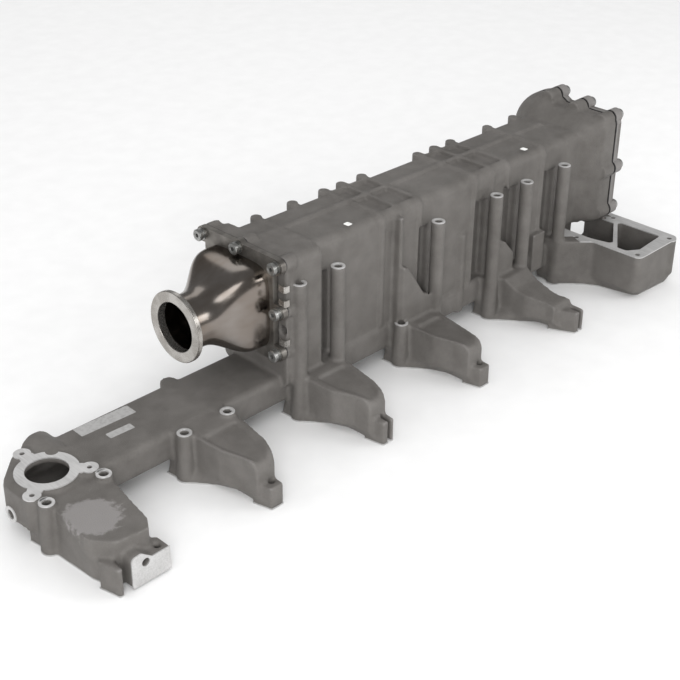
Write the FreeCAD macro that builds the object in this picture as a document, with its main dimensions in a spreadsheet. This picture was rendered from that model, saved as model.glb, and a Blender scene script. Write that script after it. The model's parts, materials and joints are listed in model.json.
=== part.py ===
import FreeCAD, Part
import os
import math
import Sketcher
from FreeCAD import Placement, Rotation, Vector

# EGR cooler of an inline six cylinder engine.
# One aluminium casting holds a coolant duct with five arms and an outlet box,
# and on top of the duct the jacket of the exhaust gas cooler.
# X runs along the engine from the gas inlet to the rear cover, the arms point
# towards -Y, and Z leaves the mating plane at z = 0.
# The origin is the axis of the first bolt hole, in the mating plane.

ARMS = ("one", "two", "three", "four", "five")

SIZES = {
    # The line of long bolts, y = 0: first bolt of each arm and the gap to its second.
    "arm_two_x": 158.3,
    "arm_three_x": 313.6,
    "arm_four_x": 471.0,
    "arm_five_x": 630.8,
    "arm_six_x": 763.1,
    "gap_one": 62.5,
    "gap_two": 54.9,
    "gap_three": 55.3,
    "gap_four": 56.4,
    "gap_five": 57.4,
    "bolt_bore_radius": 4.5,
    "pillar_radius": 8.0,
    "pillar_foot_radius": 10.0,
    "low_top": 53.5,
    "tall_top": 161.0,
    # Coolant duct under the jacket.
    "duct_front_x": -4.0,
    "duct_rear_x": 800.0,
    "duct_near_y": 11.0,
    "duct_far_y": 88.0,
    "duct_floor": 18.0,
    "duct_top": 51.0,
    "duct_round": 7.0,
    "duct_end_reach": 8.0,
    "stub_x": 53.0,
    "stub_radius": 18.0,
    "stub_far_y": 100.0,
    "far_ear_x": 209.0,
    "far_ear_radius": 9.0,
    "side_boss_y": 41.0,
    "side_boss_z": 25.0,
    "wall": 5.0,
    # Coolant port on top of the duct.
    "port_x": 27.9,
    "port_y": 40.5,
    "port_radius": 20.75,
    "port_ring_radius": 30.5,
    "port_screw_circle": 39.0,
    "port_screw_radius": 2.6,
    "port_lug_radius": 8.5,
    "port_screw_depth": 18.0,
    # Jacket around the gas core.
    "jacket_front_x": 298.0,
    "jacket_rear_x": 834.0,
    "jacket_near_y": 14.0,
    "jacket_far_y": 103.5,
    "jacket_top": 186.5,
    "jacket_round": 10.0,
    "rib_height": 3.0,
    "rib_width": 6.0,
    "narrow_bay_pocket": 6.0,
    "front_block_near_y": 3.0,
    "front_block_length": 51.0,
    "front_boss_length": 15.0,
    "collar_length": 20.0,
    "recess_floor_y": 24.0,
    "far_lug_radius": 6.5,
    "far_lug_foot": 148.0,
    # Rear flange, its flare and the bulge at its far top corner.
    "flare_length": 24.0,
    "rear_face_x": 858.0,
    "rear_near_y": -8.0,
    "rear_far_y": 114.0,
    "rear_top": 201.0,
    "rear_bottom": 60.0,
    "rear_round": 12.0,
    "rear_lug_radius": 9.5,
    "rear_lug_length": 22.0,
    "bulge_y": 94.0,
    "bulge_z": 166.0,
    "bulge_radius": 43.0,
    "bulge_back": 4.0,
    # Gas core and its plates.
    "core_y": 66.0,
    "core_z": 130.0,
    "core_width": 70.0,
    "core_height": 92.0,
    "core_play": 1.0,
    "flange_thick": 6.5,
    "gasket_thick": 1.5,
    "flange_width": 104.0,
    "flange_height": 114.0,
    "flange_round": 10.0,
    "ear_radius": 8.5,
    "gas_window_width": 62.0,
    "gas_window_height": 84.0,
    "gas_window_round": 6.0,
    "header_thick": 3.0,
    "tube_count_pitch": 10.4,
    "tube_width": 60.0,
    "tube_height": 7.4,
    "tube_wall": 0.8,
    "fin_thick": 0.4,
    "fin_play": 0.1,
    "fin_pitch": 7.2,
    "fin_set_back": 12.0,
    "tube_rear_x": 822.0,
    "support_thick": 2.0,
    "support_play": 0.2,
    "seal_section": 4.0,
    # Gas inlet: cone and V-shaped clamp flange.
    "inlet_y": 57.0,
    "inlet_z": 132.0,
    "pipe_radius": 29.0,
    "sheet": 2.0,
    "clamp_face_x": 197.0,
    "clamp_radius": 38.0,
    "clamp_bore_radius": 26.5,
    "clamp_thick": 6.0,
    "clamp_neck": 9.0,
    "cone_end_width": 93.0,
    "cone_end_height": 96.0,
    "cone_end_round": 16.0,
    # Rear cover.
    "cover_thick": 9.0,
    "cover_lug_thick": 13.0,
    "cover_dish": 3.5,
    # Screws.
    "front_screw_radius": 3.0,
    "front_screw_hole": 3.3,
    "front_screw_length": 18.0,
    "front_head_radius": 5.0,
    "front_head_height": 6.0,
    "front_washer_radius": 6.5,
    "front_washer_thick": 1.4,
    "rear_screw_radius": 4.0,
    "rear_screw_hole": 4.4,
    "rear_screw_length": 30.0,
    "rear_head_radius": 6.5,
    "rear_head_height": 7.0,
    "hex_share": 0.5,
    # Arms.
    "arm_shelf": 12.0,
    "deck_end_round": 12.0,
    "fifth_deck_end_y": -79.0,
    "arm_deck": 50.0,
    "arm_tip_y": -98.5,
    "arm_deck_end_y": -86.0,
    "tip_block_top": 24.0,
    "tip_hole_radius": 3.3,
    "fork_slot": 4.5,
    "fork_depth": 16.0,
    "fork_top": 27.0,
    "rim_height": 3.0,
    "rim_width": 5.0,
    "foot_near_y": 44.0,
    "foot_far_y": 66.0,
    # Outlet box behind the last arm.
    "box_top": 60.0,
    "box_left_x": 789.0,
    "box_right_x": 878.5,
    "box_near_y": -105.0,
    "box_screw_radius": 3.4,
    "box_boss_radius": 9.0,
}


class Size:
    """A length together with the sheet expression that it comes from."""

    def __init__(self, value, text):
        self.value = value
        self.text = text

    @staticmethod
    def of(other):
        if isinstance(other, Size):
            return other
        return Size(float(other), f"({float(other)})")

    def __add__(self, other):
        other = Size.of(other)
        return Size(self.value + other.value, f"({self.text} + {other.text})")

    def __radd__(self, other):
        return Size.of(other) + self

    def __sub__(self, other):
        other = Size.of(other)
        return Size(self.value - other.value, f"({self.text} - {other.text})")

    def __rsub__(self, other):
        return Size.of(other) - self

    def __mul__(self, factor):
        return Size(self.value * factor, f"({self.text} * ({factor}))")

    def __rmul__(self, factor):
        return self * factor

    def __neg__(self):
        return self * -1

    def __truediv__(self, divisor):
        return Size(self.value / divisor, f"({self.text} / ({divisor}))")


class Sheet:
    """The spreadsheet of driving sizes; its attributes are the aliases."""

    def __init__(self, document, sizes):
        self.sizes = sizes
        self.cells = document.addObject("Spreadsheet::Sheet", "Sizes")
        for row, (alias, number) in enumerate(sizes.items(), start=1):
            self.cells.set(f"A{row}", alias)
            self.cells.set(f"B{row}", str(number))
            self.cells.setAlias(f"B{row}", alias)

    def __getattr__(self, alias):
        return Size(self.sizes[alias], f"Sizes.{alias}")


doc = FreeCAD.newDocument("egr_cooler")
size = Sheet(doc, SIZES)
doc.recompute()

TURNS = {
    "XY": Rotation(),
    "XZ": Rotation(Vector(1, 0, 0), 90),
    "YZ": Rotation(Vector(1, 1, 1), 120),
}
ALONG = {
    "X": Rotation(Vector(0, 1, 0), 90),
    "Y": Rotation(Vector(1, 0, 0), -90),
    "Z": Rotation(),
}


def bind(item, field, amount):
    """Ties a property to the sheet."""
    item.setExpression(field, Size.of(amount).text)


def place(item, turn, x, y, z):
    """Puts an object at a place that the sheet drives."""
    places = [Size.of(amount) for amount in (x, y, z)]
    item.Placement = Placement(Vector(*(amount.value for amount in places)), turn)
    for axis, amount in zip("xyz", places):
        bind(item, "Placement.Base." + axis, amount)


def corner_geometry(corner, before, after, radius):
    """Start, middle and end of the round at one corner of an outline."""
    back = (before - corner).normalize()
    ahead = (after - corner).normalize()
    half = back.getAngle(ahead) / 2
    start = corner + back * (radius / math.tan(half))
    end = corner + ahead * (radius / math.tan(half))
    centre = corner + (back + ahead).normalize() * (radius / math.sin(half))
    return start, centre, end


class Rules:
    """Constraints of a sketch, gathered so that the sketch is solved once."""

    def __init__(self, sketch):
        self.sketch = sketch
        self.rules = []
        self.driven = {}

    def tie(self, *terms):
        self.rules.append(Sketcher.Constraint(*terms))

    def drive(self, *terms):
        """A dimension whose last term is a size of the sheet."""
        amount = Size.of(terms[-1])
        self.driven[len(self.rules)] = amount.text
        self.rules.append(Sketcher.Constraint(*terms[:-1], amount.value))

    def apply(self):
        first = self.sketch.ConstraintCount
        self.sketch.addConstraint(self.rules)
        for index, text in self.driven.items():
            self.sketch.setExpression(f"Constraints[{first + index}]", text)


def draw_loop(sketch, corners):
    """Draws a closed outline of lines with tangent rounds: corners are (x, y, round)."""
    corners = [tuple(Size.of(part) for part in corner) for corner in corners]
    points = [Vector(x.value, y.value, 0) for x, y, _ in corners]
    count = len(corners)
    rounds = []
    for index, (_, _, radius) in enumerate(corners):
        if radius.value > 0:
            before = points[index - 1]
            after = points[(index + 1) % count]
            rounds.append(corner_geometry(points[index], before, after, radius.value))
        else:
            rounds.append((points[index], None, points[index]))
    base = sketch.GeometryCount
    sketch.addGeometry([
        Part.LineSegment(rounds[index][2], rounds[(index + 1) % count][0]) for index in range(count)
    ], False)
    rules = Rules(sketch)
    for index, (x, y, radius) in enumerate(corners):
        into = base + (index - 1) % count
        out = base + index
        start, centre, end = rounds[index]
        if centre is None:
            rules.tie("Coincident", into, 2, out, 1)
            rules.drive("DistanceX", out, 1, x)
            rules.drive("DistanceY", out, 1, y)
            continue
        before = points[index - 1]
        turn = (points[index] - before).cross(points[(index + 1) % count] - points[index]).z
        first, last = (start, end) if turn > 0 else (end, start)
        near_in, near_out = (1, 2) if turn > 0 else (2, 1)
        circle = Part.Circle(centre, Vector(0, 0, 1), radius.value)
        arc = sketch.addGeometry(
            Part.ArcOfCircle(circle, circle.parameter(first), circle.parameter(last)), False
        )
        tip = sketch.addGeometry(Part.Point(points[index]), True)
        rules.drive("DistanceX", tip, 1, x)
        rules.drive("DistanceY", tip, 1, y)
        rules.tie("PointOnObject", tip, 1, into)
        rules.tie("PointOnObject", tip, 1, out)
        rules.tie("Tangent", into, 2, arc, near_in)
        rules.tie("Tangent", out, 1, arc, near_out)
        rules.drive("Radius", arc, radius)
    rules.apply()


def draw_circle(sketch, x, y, radius):
    """Draws a circle whose centre and radius the sheet drives."""
    x, y, radius = Size.of(x), Size.of(y), Size.of(radius)
    circle = Part.Circle(Vector(x.value, y.value, 0), Vector(0, 0, 1), radius.value)
    index = sketch.addGeometry(circle, False)
    rules = Rules(sketch)
    rules.drive("DistanceX", index, 3, x)
    rules.drive("DistanceY", index, 3, y)
    rules.drive("Radius", index, radius)
    rules.apply()


def profile(name, plane, level, *loops):
    """A free sketch at a level of the XY, XZ or YZ plane."""
    sketch = doc.addObject("Sketcher::SketchObject", name)
    level = Size.of(level)
    base = {"XY": (0, 0, level), "XZ": (0, level, 0), "YZ": (level, 0, 0)}[plane]
    place(sketch, TURNS[plane], *base)
    for loop in loops:
        draw_loop(sketch, loop)
    return sketch


def extrude(name, sketch, length, draft=0.0):
    """A solid drawn from a sketch along its normal."""
    solid = doc.addObject("Part::Extrusion", name)
    solid.Base = sketch
    solid.DirMode = "Normal"
    solid.Solid = True
    solid.TaperAngle = draft
    bind(solid, "LengthFwd", length)
    return solid


def loft(name, *sketches, ruled=False):
    """A solid through several sketches with as many edges each."""
    solid = doc.addObject("Part::Loft", name)
    solid.Sections = list(sketches)
    solid.Solid = True
    solid.Ruled = ruled
    return solid


def cylinder(name, radius, height, x, y, z, along="Z"):
    solid = doc.addObject("Part::Cylinder", name)
    bind(solid, "Radius", radius)
    bind(solid, "Height", height)
    place(solid, ALONG[along], x, y, z)
    return solid


def cone(name, foot, top, height, x, y, z):
    solid = doc.addObject("Part::Cone", name)
    bind(solid, "Radius1", foot)
    bind(solid, "Radius2", top)
    bind(solid, "Height", height)
    place(solid, ALONG["Z"], x, y, z)
    return solid


def block(name, low, high):
    """A box between two corners."""
    low = [Size.of(amount) for amount in low]
    high = [Size.of(amount) for amount in high]
    solid = doc.addObject("Part::Box", name)
    for field, start, end in zip(("Length", "Width", "Height"), low, high):
        bind(solid, field, end - start)
    place(solid, Rotation(), *low)
    return solid


def fuse(name, solids):
    union = doc.addObject("Part::MultiFuse", name)
    union.Shapes = solids
    return union


def join(name, base, tool):
    """Two solids as one."""
    union = doc.addObject("Part::Fuse", name)
    union.Base = base
    union.Tool = tool
    union.Refine = False
    return union


def cut(name, base, tools):
    """The base less all of the tools."""
    result = doc.addObject("Part::Cut", name)
    result.Base = base
    result.Tool = tools[0] if len(tools) == 1 else fuse(name + "_tools", tools)
    result.Refine = True
    return result


def rounded(low, high, radius):
    """Corners of a rounded rectangle between two opposite corners."""
    (left, bottom), (right, top) = low, high
    return [(left, bottom, radius), (right, bottom, radius), (right, top, radius), (left, top, radius)]


def centred(y, z, width, height, radius):
    """Corners of a rounded rectangle about a centre."""
    return rounded((y - width / 2, z - height / 2), (y + width / 2, z + height / 2), radius)


ARM_X = {
    "one": Size.of(0.0),
    "two": size.arm_two_x,
    "three": size.arm_three_x,
    "four": size.arm_four_x,
    "five": size.arm_five_x,
}
ARM_GAP = {name: getattr(size, "gap_" + name) for name in ARMS}

LOW_BOLTS = {
    "one_front": ARM_X["one"],
    "one_rear": ARM_X["one"] + ARM_GAP["one"],
    "two_front": ARM_X["two"],
    "two_rear": ARM_X["two"] + ARM_GAP["two"],
    "four_front": ARM_X["four"],
}
TALL_BOLTS = {
    "three_front": ARM_X["three"],
    "three_rear": ARM_X["three"] + ARM_GAP["three"],
    "four_rear": ARM_X["four"] + ARM_GAP["four"],
    "five_front": ARM_X["five"],
    "five_rear": ARM_X["five"] + ARM_GAP["five"],
    "six_front": size.arm_six_x,
}

# Lugs on the jacket's far edge that no rib meets.
LONE_LUGS = (312.0, 402.0, 790.0)
# Stations of the cross ribs on the jacket, from the first bolt hole.
RIBS = (349.0, 450.0, 478.0, 511.0, 607.0, 637.0, 667.0, 738.0)
NARROW_BAYS = ((450.0, 478.0), (478.0, 511.0), (607.0, 637.0), (637.0, 667.0))
# Each tall pillar but the first has a recess between the rib before it and itself.
RECESS_RIBS = {
    "three_rear": 352.0,
    "four_rear": 509.0,
    "five_front": 607.0,
    "five_rear": 663.0,
    "six_front": 739.0,
}

# Screw places of the front flange, (y, z) from the core's axis.
FRONT_SCREWS = (
    (56.0, 52.0), (0.0, 56.0), (-57.0, 53.0), (-59.0, 2.0), (-57.0, -47.0),
    (60.0, 2.0), (20.0, -58.0), (-2.0, -56.0), (56.0, -50.0),
)
# Screw places of the rear cover, (y, z).
REAR_SCREWS = (
    (87.0, 207.0), (46.0, 202.0), (3.5, 197.0), (-4.0, 131.0),
    (-3.0, 74.0), (52.0, 66.0), (108.0, 74.0), (138.0, 142.0),
)


def port_lugs():
    """Angles of the three screw lugs round the coolant port."""
    return (92.0, -37.0, -144.0)


def on_port(angle, radius):
    angle = math.radians(angle)
    x = size.port_x + radius * round(math.cos(angle), 6)
    y = size.port_y + radius * round(math.sin(angle), 6)
    return x, y


def duct_solids():
    """The long coolant duct, its end lugs and the ring of the coolant port."""
    section = rounded(
        (size.duct_near_y, size.duct_floor), (size.duct_far_y, size.duct_top), size.duct_round
    )
    front = size.duct_front_x - size.duct_end_reach
    bar = extrude("duct_bar", profile("duct_section", "YZ", front, section), size.duct_rear_x - front)
    plan = [
        (size.duct_rear_x, size.duct_near_y - 2.0, 0), (size.duct_rear_x, size.duct_far_y + 2.0, 0),
        (size.duct_front_x + 26.0, size.duct_far_y + 2.0, 14.0), (front, Size.of(54.0), 16.0),
        (front, size.duct_near_y + 12.0, 8.0), (front + 4.0, size.duct_near_y - 2.0, 0),
    ]
    outline = extrude("duct_plan", profile("duct_plan_outline", "XY", size.duct_floor - 2.0, plan),
                      size.duct_top - size.duct_floor + 4.0)
    duct = doc.addObject("Part::Common", "duct")
    duct.Base = bar
    duct.Tool = outline
    solids = [duct]
    solids.append(cylinder(
        "port_ring", size.port_ring_radius, size.low_top - size.duct_floor,
        size.port_x, size.port_y, size.duct_floor,
    ))
    for number, angle in enumerate(port_lugs(), start=1):
        for part, radius, reach in (("lug", size.port_lug_radius, size.port_screw_circle),
                                    ("web", size.port_lug_radius - 1.0, size.port_ring_radius)):
            x, y = on_port(angle, reach)
            solids.append(cylinder(
                f"port_{part}_{number}", radius, size.low_top - size.duct_floor, x, y, size.duct_floor,
            ))
    stub_y = size.duct_far_y - 28.0
    solids.append(cylinder(
        "far_stub", size.stub_radius, size.stub_far_y - stub_y, size.stub_x, stub_y, size.duct_floor + 20.0, along="Y",
    ))
    solids.append(cylinder(
        "far_ear", size.far_ear_radius, size.duct_top - size.duct_floor - 6.0,
        size.far_ear_x, size.duct_far_y, size.duct_floor + 6.0,
    ))
    solids.append(cylinder(
        "side_boss", size.ear_radius, Size.of(26.0), front - 2.0, size.side_boss_y, size.side_boss_z, along="X",
    ))
    return solids


def pillar_solids():
    """Bosses and pillars of the long bolts, all standing on the mating plane."""
    solids = []
    for bolts, top in ((LOW_BOLTS, size.low_top), (TALL_BOLTS, size.tall_top)):
        for name, x in bolts.items():
            solids.append(cylinder("pillar_" + name, size.pillar_radius, top, x, 0.0, 0.0))
            solids.append(cone(
                "pillar_foot_" + name, size.pillar_foot_radius, size.pillar_radius, size.duct_top,
                x, 0.0, 0.0,
            ))
            # The web that ties the pillar to the wall behind it.
            solids.append(block(
                "pillar_web_" + name,
                (x - size.pillar_radius + 1.5, 0.0, size.duct_floor if top is size.tall_top else 4.0),
                (x + size.pillar_radius - 1.5, size.duct_near_y + size.wall,
                 top - 3.0 if top is size.tall_top else size.duct_top),
            ))
    return solids


def jacket_solids():
    """The box round the core with its hoops, lugs, front collar and rear flange."""
    solids = []
    near, far = size.jacket_near_y, size.jacket_far_y
    section = rounded((near, size.duct_top - 12.0), (far, size.jacket_top), size.jacket_round)
    solids.append(extrude(
        "jacket", profile("jacket_section", "YZ", size.jacket_front_x, section),
        size.jacket_rear_x - size.jacket_front_x,
    ))
    rib = size.rib_height
    hoop = rounded((near - rib, size.duct_top - 8.0), (far + rib, size.jacket_top + rib),
                   size.jacket_round + rib)
    for number, x in enumerate(RIBS, start=1):
        solids.append(extrude(
            f"hoop_{number}", profile(f"hoop_section_{number}", "YZ", x - size.rib_width / 2, hoop),
            size.rib_width,
        ))
    for number, x in enumerate(sorted(RIBS + LONE_LUGS), start=1):
        solids.append(cylinder(
            f"far_lug_{number}", size.far_lug_radius, size.jacket_top + rib - size.far_lug_foot,
            x, far, size.far_lug_foot,
        ))
    for number, (start, end) in enumerate(NARROW_BAYS, start=1):
        bay = rounded((near - rib / 3, size.jacket_top - 30.0), (far + rib / 3, size.jacket_top + rib - 0.6),
                      size.jacket_round + rib / 3)
        solids.append(extrude(
            f"bay_{number}", profile(f"bay_section_{number}", "YZ", start, bay), Size.of(end - start),
        ))
    solids.append(block(
        "spine", (size.jacket_front_x, size.core_y - size.rib_width / 2, size.jacket_top - 8.0),
        (Size.of(RIBS[-1]) + 60.0, size.core_y + size.rib_width / 2, size.jacket_top + rib),
    ))
    front_block = rounded(
        (size.front_block_near_y, size.duct_top - 12.0), (far, size.jacket_top + rib - 1.0), size.jacket_round
    )
    solids.append(extrude(
        "front_block", profile("front_block_section", "YZ", size.jacket_front_x, front_block),
        size.front_block_length,
    ))
    collar = centred(
        size.core_y, size.core_z, size.flange_width + 4.0, size.flange_height + 4.0, size.flange_round
    )
    solids.append(extrude(
        "collar", profile("collar_section", "YZ", size.jacket_front_x, collar), size.collar_length,
    ))
    for number, (y, z) in enumerate(FRONT_SCREWS, start=1):
        solids.append(cylinder(
            f"front_boss_{number}", size.ear_radius, size.front_boss_length,
            size.jacket_front_x, size.core_y + y, size.core_z + z, along="X",
        ))
    return solids


def rear_bulge():
    """Half a ball in front of the rear face: the gas turns round in it."""
    back = size.rear_face_x - size.bulge_back
    nose = doc.addObject("Part::Sphere", "bulge_nose")
    bind(nose, "Radius", size.bulge_radius)
    place(nose, Rotation(), back, size.bulge_y, size.bulge_z)
    reach = size.bulge_radius + 2.0
    behind = block(
        "bulge_behind", (back, size.bulge_y - reach, size.bulge_z - reach),
        (back + reach, size.bulge_y + reach, size.bulge_z + reach),
    )
    return fuse("bulge", [
        cut("bulge_front", nose, [behind]),
        cylinder("bulge_rim", size.bulge_radius, size.bulge_back, back, size.bulge_y, size.bulge_z, along="X"),
    ])


def rear_solids():
    """Flare, rear flange, its lugs and the bulge at the far top corner."""
    near, far = size.jacket_near_y, size.jacket_far_y
    start = rounded((near, size.rear_bottom), (far, size.jacket_top), size.jacket_round)
    end = rounded((size.rear_near_y, size.rear_bottom), (size.rear_far_y, size.rear_top), size.rear_round)
    flare_x = size.jacket_rear_x - size.flare_length
    solids = [
        loft("flare", profile("flare_start", "YZ", flare_x, start),
             profile("flare_end", "YZ", size.jacket_rear_x, end), ruled=True),
        extrude("rear_flange", profile("rear_flange_section", "YZ", size.jacket_rear_x, end),
                size.rear_face_x - size.jacket_rear_x),
    ]
    solids.append(rear_bulge())
    for number, (y, z) in enumerate(REAR_SCREWS, start=1):
        solids.append(cylinder(
            f"rear_lug_{number}", size.rear_lug_radius, size.rear_lug_length,
            size.rear_face_x - size.rear_lug_length, y, z, along="X",
        ))
    return solids


# Each arm's tip shift, slimness of its right side and shift of its left side.
ARM_FORMS = {"two": (0.0, 0.0, 0.0), "three": (0.0, 2.0, -4.0), "four": (0.0, 8.0, 0.0), "five": (17.0, 4.0, 7.0)}
FORKED = ("three", "five")


def arm_outline(gap, shift, slim, neck, end):
    """Upper and lower outline of an arm, from the axis of its first bolt."""
    tip = size.arm_tip_y
    right = gap - slim
    upper = [
        (Size.of(-6.0), Size.of(20.0), 0),
        (Size.of(5.5) + neck, Size.of(-8.0), 4.0),
        (Size.of(7.0) + neck, Size.of(-42.0), 12.0),
        (Size.of(14.0) + shift / 2, Size.of(-66.0), 10.0),
        (Size.of(17.0) + shift * 0.4, end, 0),
        (Size.of(40.0) + shift, end, 0),
        (right - 3.0, Size.of(-60.0), 14.0),
        (right + 4.0, Size.of(-22.0), 14.0),
        (gap + 6.0, Size.of(20.0), 0),
    ]
    lower = [
        (Size.of(-9.0), Size.of(20.0), 0),
        (Size.of(-6.0), Size.of(-8.0), 4.0),
        (Size.of(14.0), Size.of(-32.0), 12.0),
        (Size.of(22.0) + shift / 2, Size.of(-50.0), 10.0),
        (Size.of(23.0) + shift * 0.8, tip + 9.0, 0),
        (Size.of(38.0) + shift, tip + 9.0, 0),
        (right - 9.0, Size.of(-56.0), 14.0),
        (right - 2.0, Size.of(-22.0), 14.0),
        (gap + 4.0, Size.of(20.0), 0),
    ]
    return upper, lower


def moved(corners, x):
    return [(corner[0] + x, corner[1], corner[2]) for corner in corners]


def deck_end(name):
    """Where the deck of an arm ends towards its tip."""
    return size.fifth_deck_end_y if name == "five" else size.arm_deck_end_y


def feet(name):
    """What an arm stands on: a bar between its bolts and a foot under the far side of the duct."""
    x = ARM_X[name]
    top = size.duct_floor + size.wall - 1.0
    return [
        block(f"arm_{name}_bar", (x, -6.0, 0.0), (x + ARM_GAP[name], size.duct_near_y + 5.0, top)),
        block(f"arm_{name}_foot_far", (x + 8.0, size.foot_near_y, 0.0),
              (x + ARM_GAP[name] - 8.0, size.foot_far_y, top)),
    ]


def arm_solids(name):
    """One arm: deck with its rim, undercut foot and the tip."""
    x = ARM_X[name]
    upper, lower = arm_outline(ARM_GAP[name], *ARM_FORMS[name], deck_end(name))
    upper, lower = moved(upper, x), moved(lower, x)
    shelf = profile(f"arm_{name}_shelf", "XY", size.arm_shelf, upper)
    foot = profile(f"arm_{name}_foot", "XY", 0.0, lower)
    solids = [
        extrude(f"arm_{name}_body", shelf, size.arm_deck - size.arm_shelf),
        loft(f"arm_{name}_undercut", foot, shelf, ruled=True),
    ]
    solids += feet(name)
    solids.append(tip_fork(name) if name in FORKED else tip_block(name))
    return solids


def deck_slope(name):
    """What the deck's end lacks: it rounds down to the tip, and the fifth arm's deck falls all the way."""
    end, top, radius = deck_end(name), size.arm_deck, size.deck_end_round
    if name == "five":
        corners = [
            (end - 3.0, size.fork_top - 1.0, 0), (end, size.fork_top - 1.0, 0), (end, top - 17.0, 5.0),
            (end + 52.0, top - 9.0, 14.0), (end + 68.0, top, 0), (end + 68.0, top + 3.0, 0), (end - 3.0, top + 3.0, 0),
        ]
    else:
        corners = [
            (end - 2.0, top - radius - 2.0, 0), (end, top - radius - 2.0, 0), (end, top, radius),
            (end + radius + 2.0, top, 0), (end + radius + 2.0, top + 3.0, 0), (end - 2.0, top + 3.0, 0),
        ]
    x = ARM_X[name] + size.pillar_radius + 0.5
    return extrude(f"arm_{name}_slope", profile(f"arm_{name}_slope_outline", "YZ", x, corners),
                   ARM_GAP[name] - 2 * size.pillar_radius - 1.0 + (16.0 if name == "five" else 0.0))


def tip_block(name):
    """The square end of an arm with its upright hole."""
    x = ARM_X[name] + ARM_FORMS[name][0]
    corners = [
        (x + 24.0, size.arm_tip_y, 1.5), (x + 39.5, size.arm_tip_y, 1.5),
        (x + 41.5, size.arm_deck_end_y + 10.0, 1.5), (x + 18.0, size.arm_deck_end_y + 10.0, 1.5),
    ]
    return extrude(f"arm_{name}_tip", profile(f"arm_{name}_tip_outline", "XY", 0.0, corners), size.tip_block_top)


def tip_fork(name):
    """The forked end of an arm: two prongs either side of a slot, with a toe beside them."""
    shift = ARM_FORMS[name][0]
    x = ARM_X[name] + shift
    back = deck_end(name) + 10.0
    corners = [
        (x + 23.5, size.arm_tip_y - 1.0, 2.0), (x + 39.0, size.arm_tip_y - 1.0, 2.0),
        (x + 41.0, back, 1.0), (x + 19.0 - shift * 0.6, back, 1.0),
    ]
    return extrude(f"arm_{name}_fork", profile(f"arm_{name}_fork_outline", "XY", 0.0, corners), size.fork_top)


def fork_slot(name):
    x = ARM_X[name] + ARM_FORMS[name][0] + 30.5
    return block(
        f"arm_{name}_slot", (x, size.arm_tip_y - 6.0, -1.0),
        (x + size.fork_slot, size.arm_tip_y + size.fork_depth, size.fork_top + 1.0),
    )


def deck_pocket(name):
    """The deck lies a little lower than the rim along the arm's right edge."""
    x = ARM_X[name]
    shift, slim, _ = ARM_FORMS[name]
    right = ARM_GAP[name] - slim - size.rim_width
    corners = [
        (x + 10.0, Size.of(-14.0), 4.0),
        (x + 12.0, Size.of(-44.0), 12.0),
        (x + 19.0 + shift, Size.of(-70.0), 10.0),
        (x + 21.0 + shift, size.arm_deck_end_y + 4.0, 0),
        (x + 35.0 + shift, size.arm_deck_end_y + 4.0, 0),
        (x + right - 3.0, Size.of(-59.0), 12.0),
        (x + right + 3.0, Size.of(-22.0), 12.0),
        (x + right + 3.0, Size.of(-14.0), 4.0),
    ]
    level = size.arm_deck - size.rim_height
    return extrude(f"arm_{name}_deck", profile(f"arm_{name}_deck_outline", "XY", level, corners), 2 * size.rim_height)


def first_arm():
    """The wide first arm with a machined block and one prong."""
    upper = [
        (Size.of(-8.0), Size.of(24.0), 0),
        (Size.of(2.0), Size.of(-8.0), 4.0),
        (Size.of(-3.0), Size.of(-64.0), 14.0),
        (Size.of(14.0), Size.of(-84.0), 8.0),
        (Size.of(46.0), Size.of(-88.0), 4.0),
        (Size.of(55.0), Size.of(-74.0), 8.0),
        (Size.of(60.0), Size.of(-44.0), 14.0),
        (Size.of(66.0), Size.of(-14.0), 6.0),
        (Size.of(70.0), Size.of(24.0), 0),
    ]
    lower = [
        (Size.of(-7.0), Size.of(24.0), 0),
        (Size.of(-1.0), Size.of(-12.0), 4.0),
        (Size.of(2.0), Size.of(-60.0), 14.0),
        (Size.of(8.0), Size.of(-82.0), 8.0),
        (Size.of(46.0), Size.of(-90.0), 4.0),
        (Size.of(56.0), Size.of(-74.0), 8.0),
        (Size.of(56.0), Size.of(-44.0), 14.0),
        (Size.of(62.0), Size.of(-14.0), 6.0),
        (Size.of(68.0), Size.of(24.0), 0),
    ]
    shelf = profile("arm_one_shelf", "XY", size.arm_shelf + 14.0, upper)
    foot = profile("arm_one_foot", "XY", 0.0, lower)
    block_corners = [
        (Size.of(17.5), size.arm_tip_y, 0.8), (Size.of(60.5), size.arm_tip_y, 0.8),
        (Size.of(60.5), Size.of(-78.0), 3.0), (Size.of(17.5), Size.of(-70.0), 3.0),
    ]
    prong = [
        (Size.of(4.0), size.arm_tip_y + 1.0, 1.8), (Size.of(9.0), size.arm_tip_y + 1.0, 1.8),
        (Size.of(11.0), Size.of(-74.0), 0), (Size.of(-1.0), Size.of(-74.0), 0),
    ]
    return [
        extrude("arm_one_body", shelf, size.arm_deck - size.arm_shelf - 16.0),
        loft("arm_one_undercut", foot, shelf, ruled=True),
        extrude("arm_one_block", profile("arm_one_block_outline", "XY", 2.0, block_corners), Size.of(24.6)),
        extrude("arm_one_hump", profile("arm_one_hump_outline", "XZ", size.arm_tip_y + 26.0, [
            (Size.of(17.5), Size.of(4.0), 1.0), (Size.of(17.5), Size.of(34.5), 5.0), (Size.of(28.5), Size.of(35.5), 4.0),
            (Size.of(40.0), Size.of(26.5), 3.0), (Size.of(46.0), Size.of(4.0), 1.0),
        ]), Size.of(26.0)),
        extrude("arm_one_prong", profile("arm_one_prong_outline", "XY", 0.0, prong), Size.of(30.0)),
    ] + feet("one")


BOX_SCREWS = ((866.9, -98.0), (798.0, -96.0), (785.0, -13.3), (868.0, -12.0))


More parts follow.
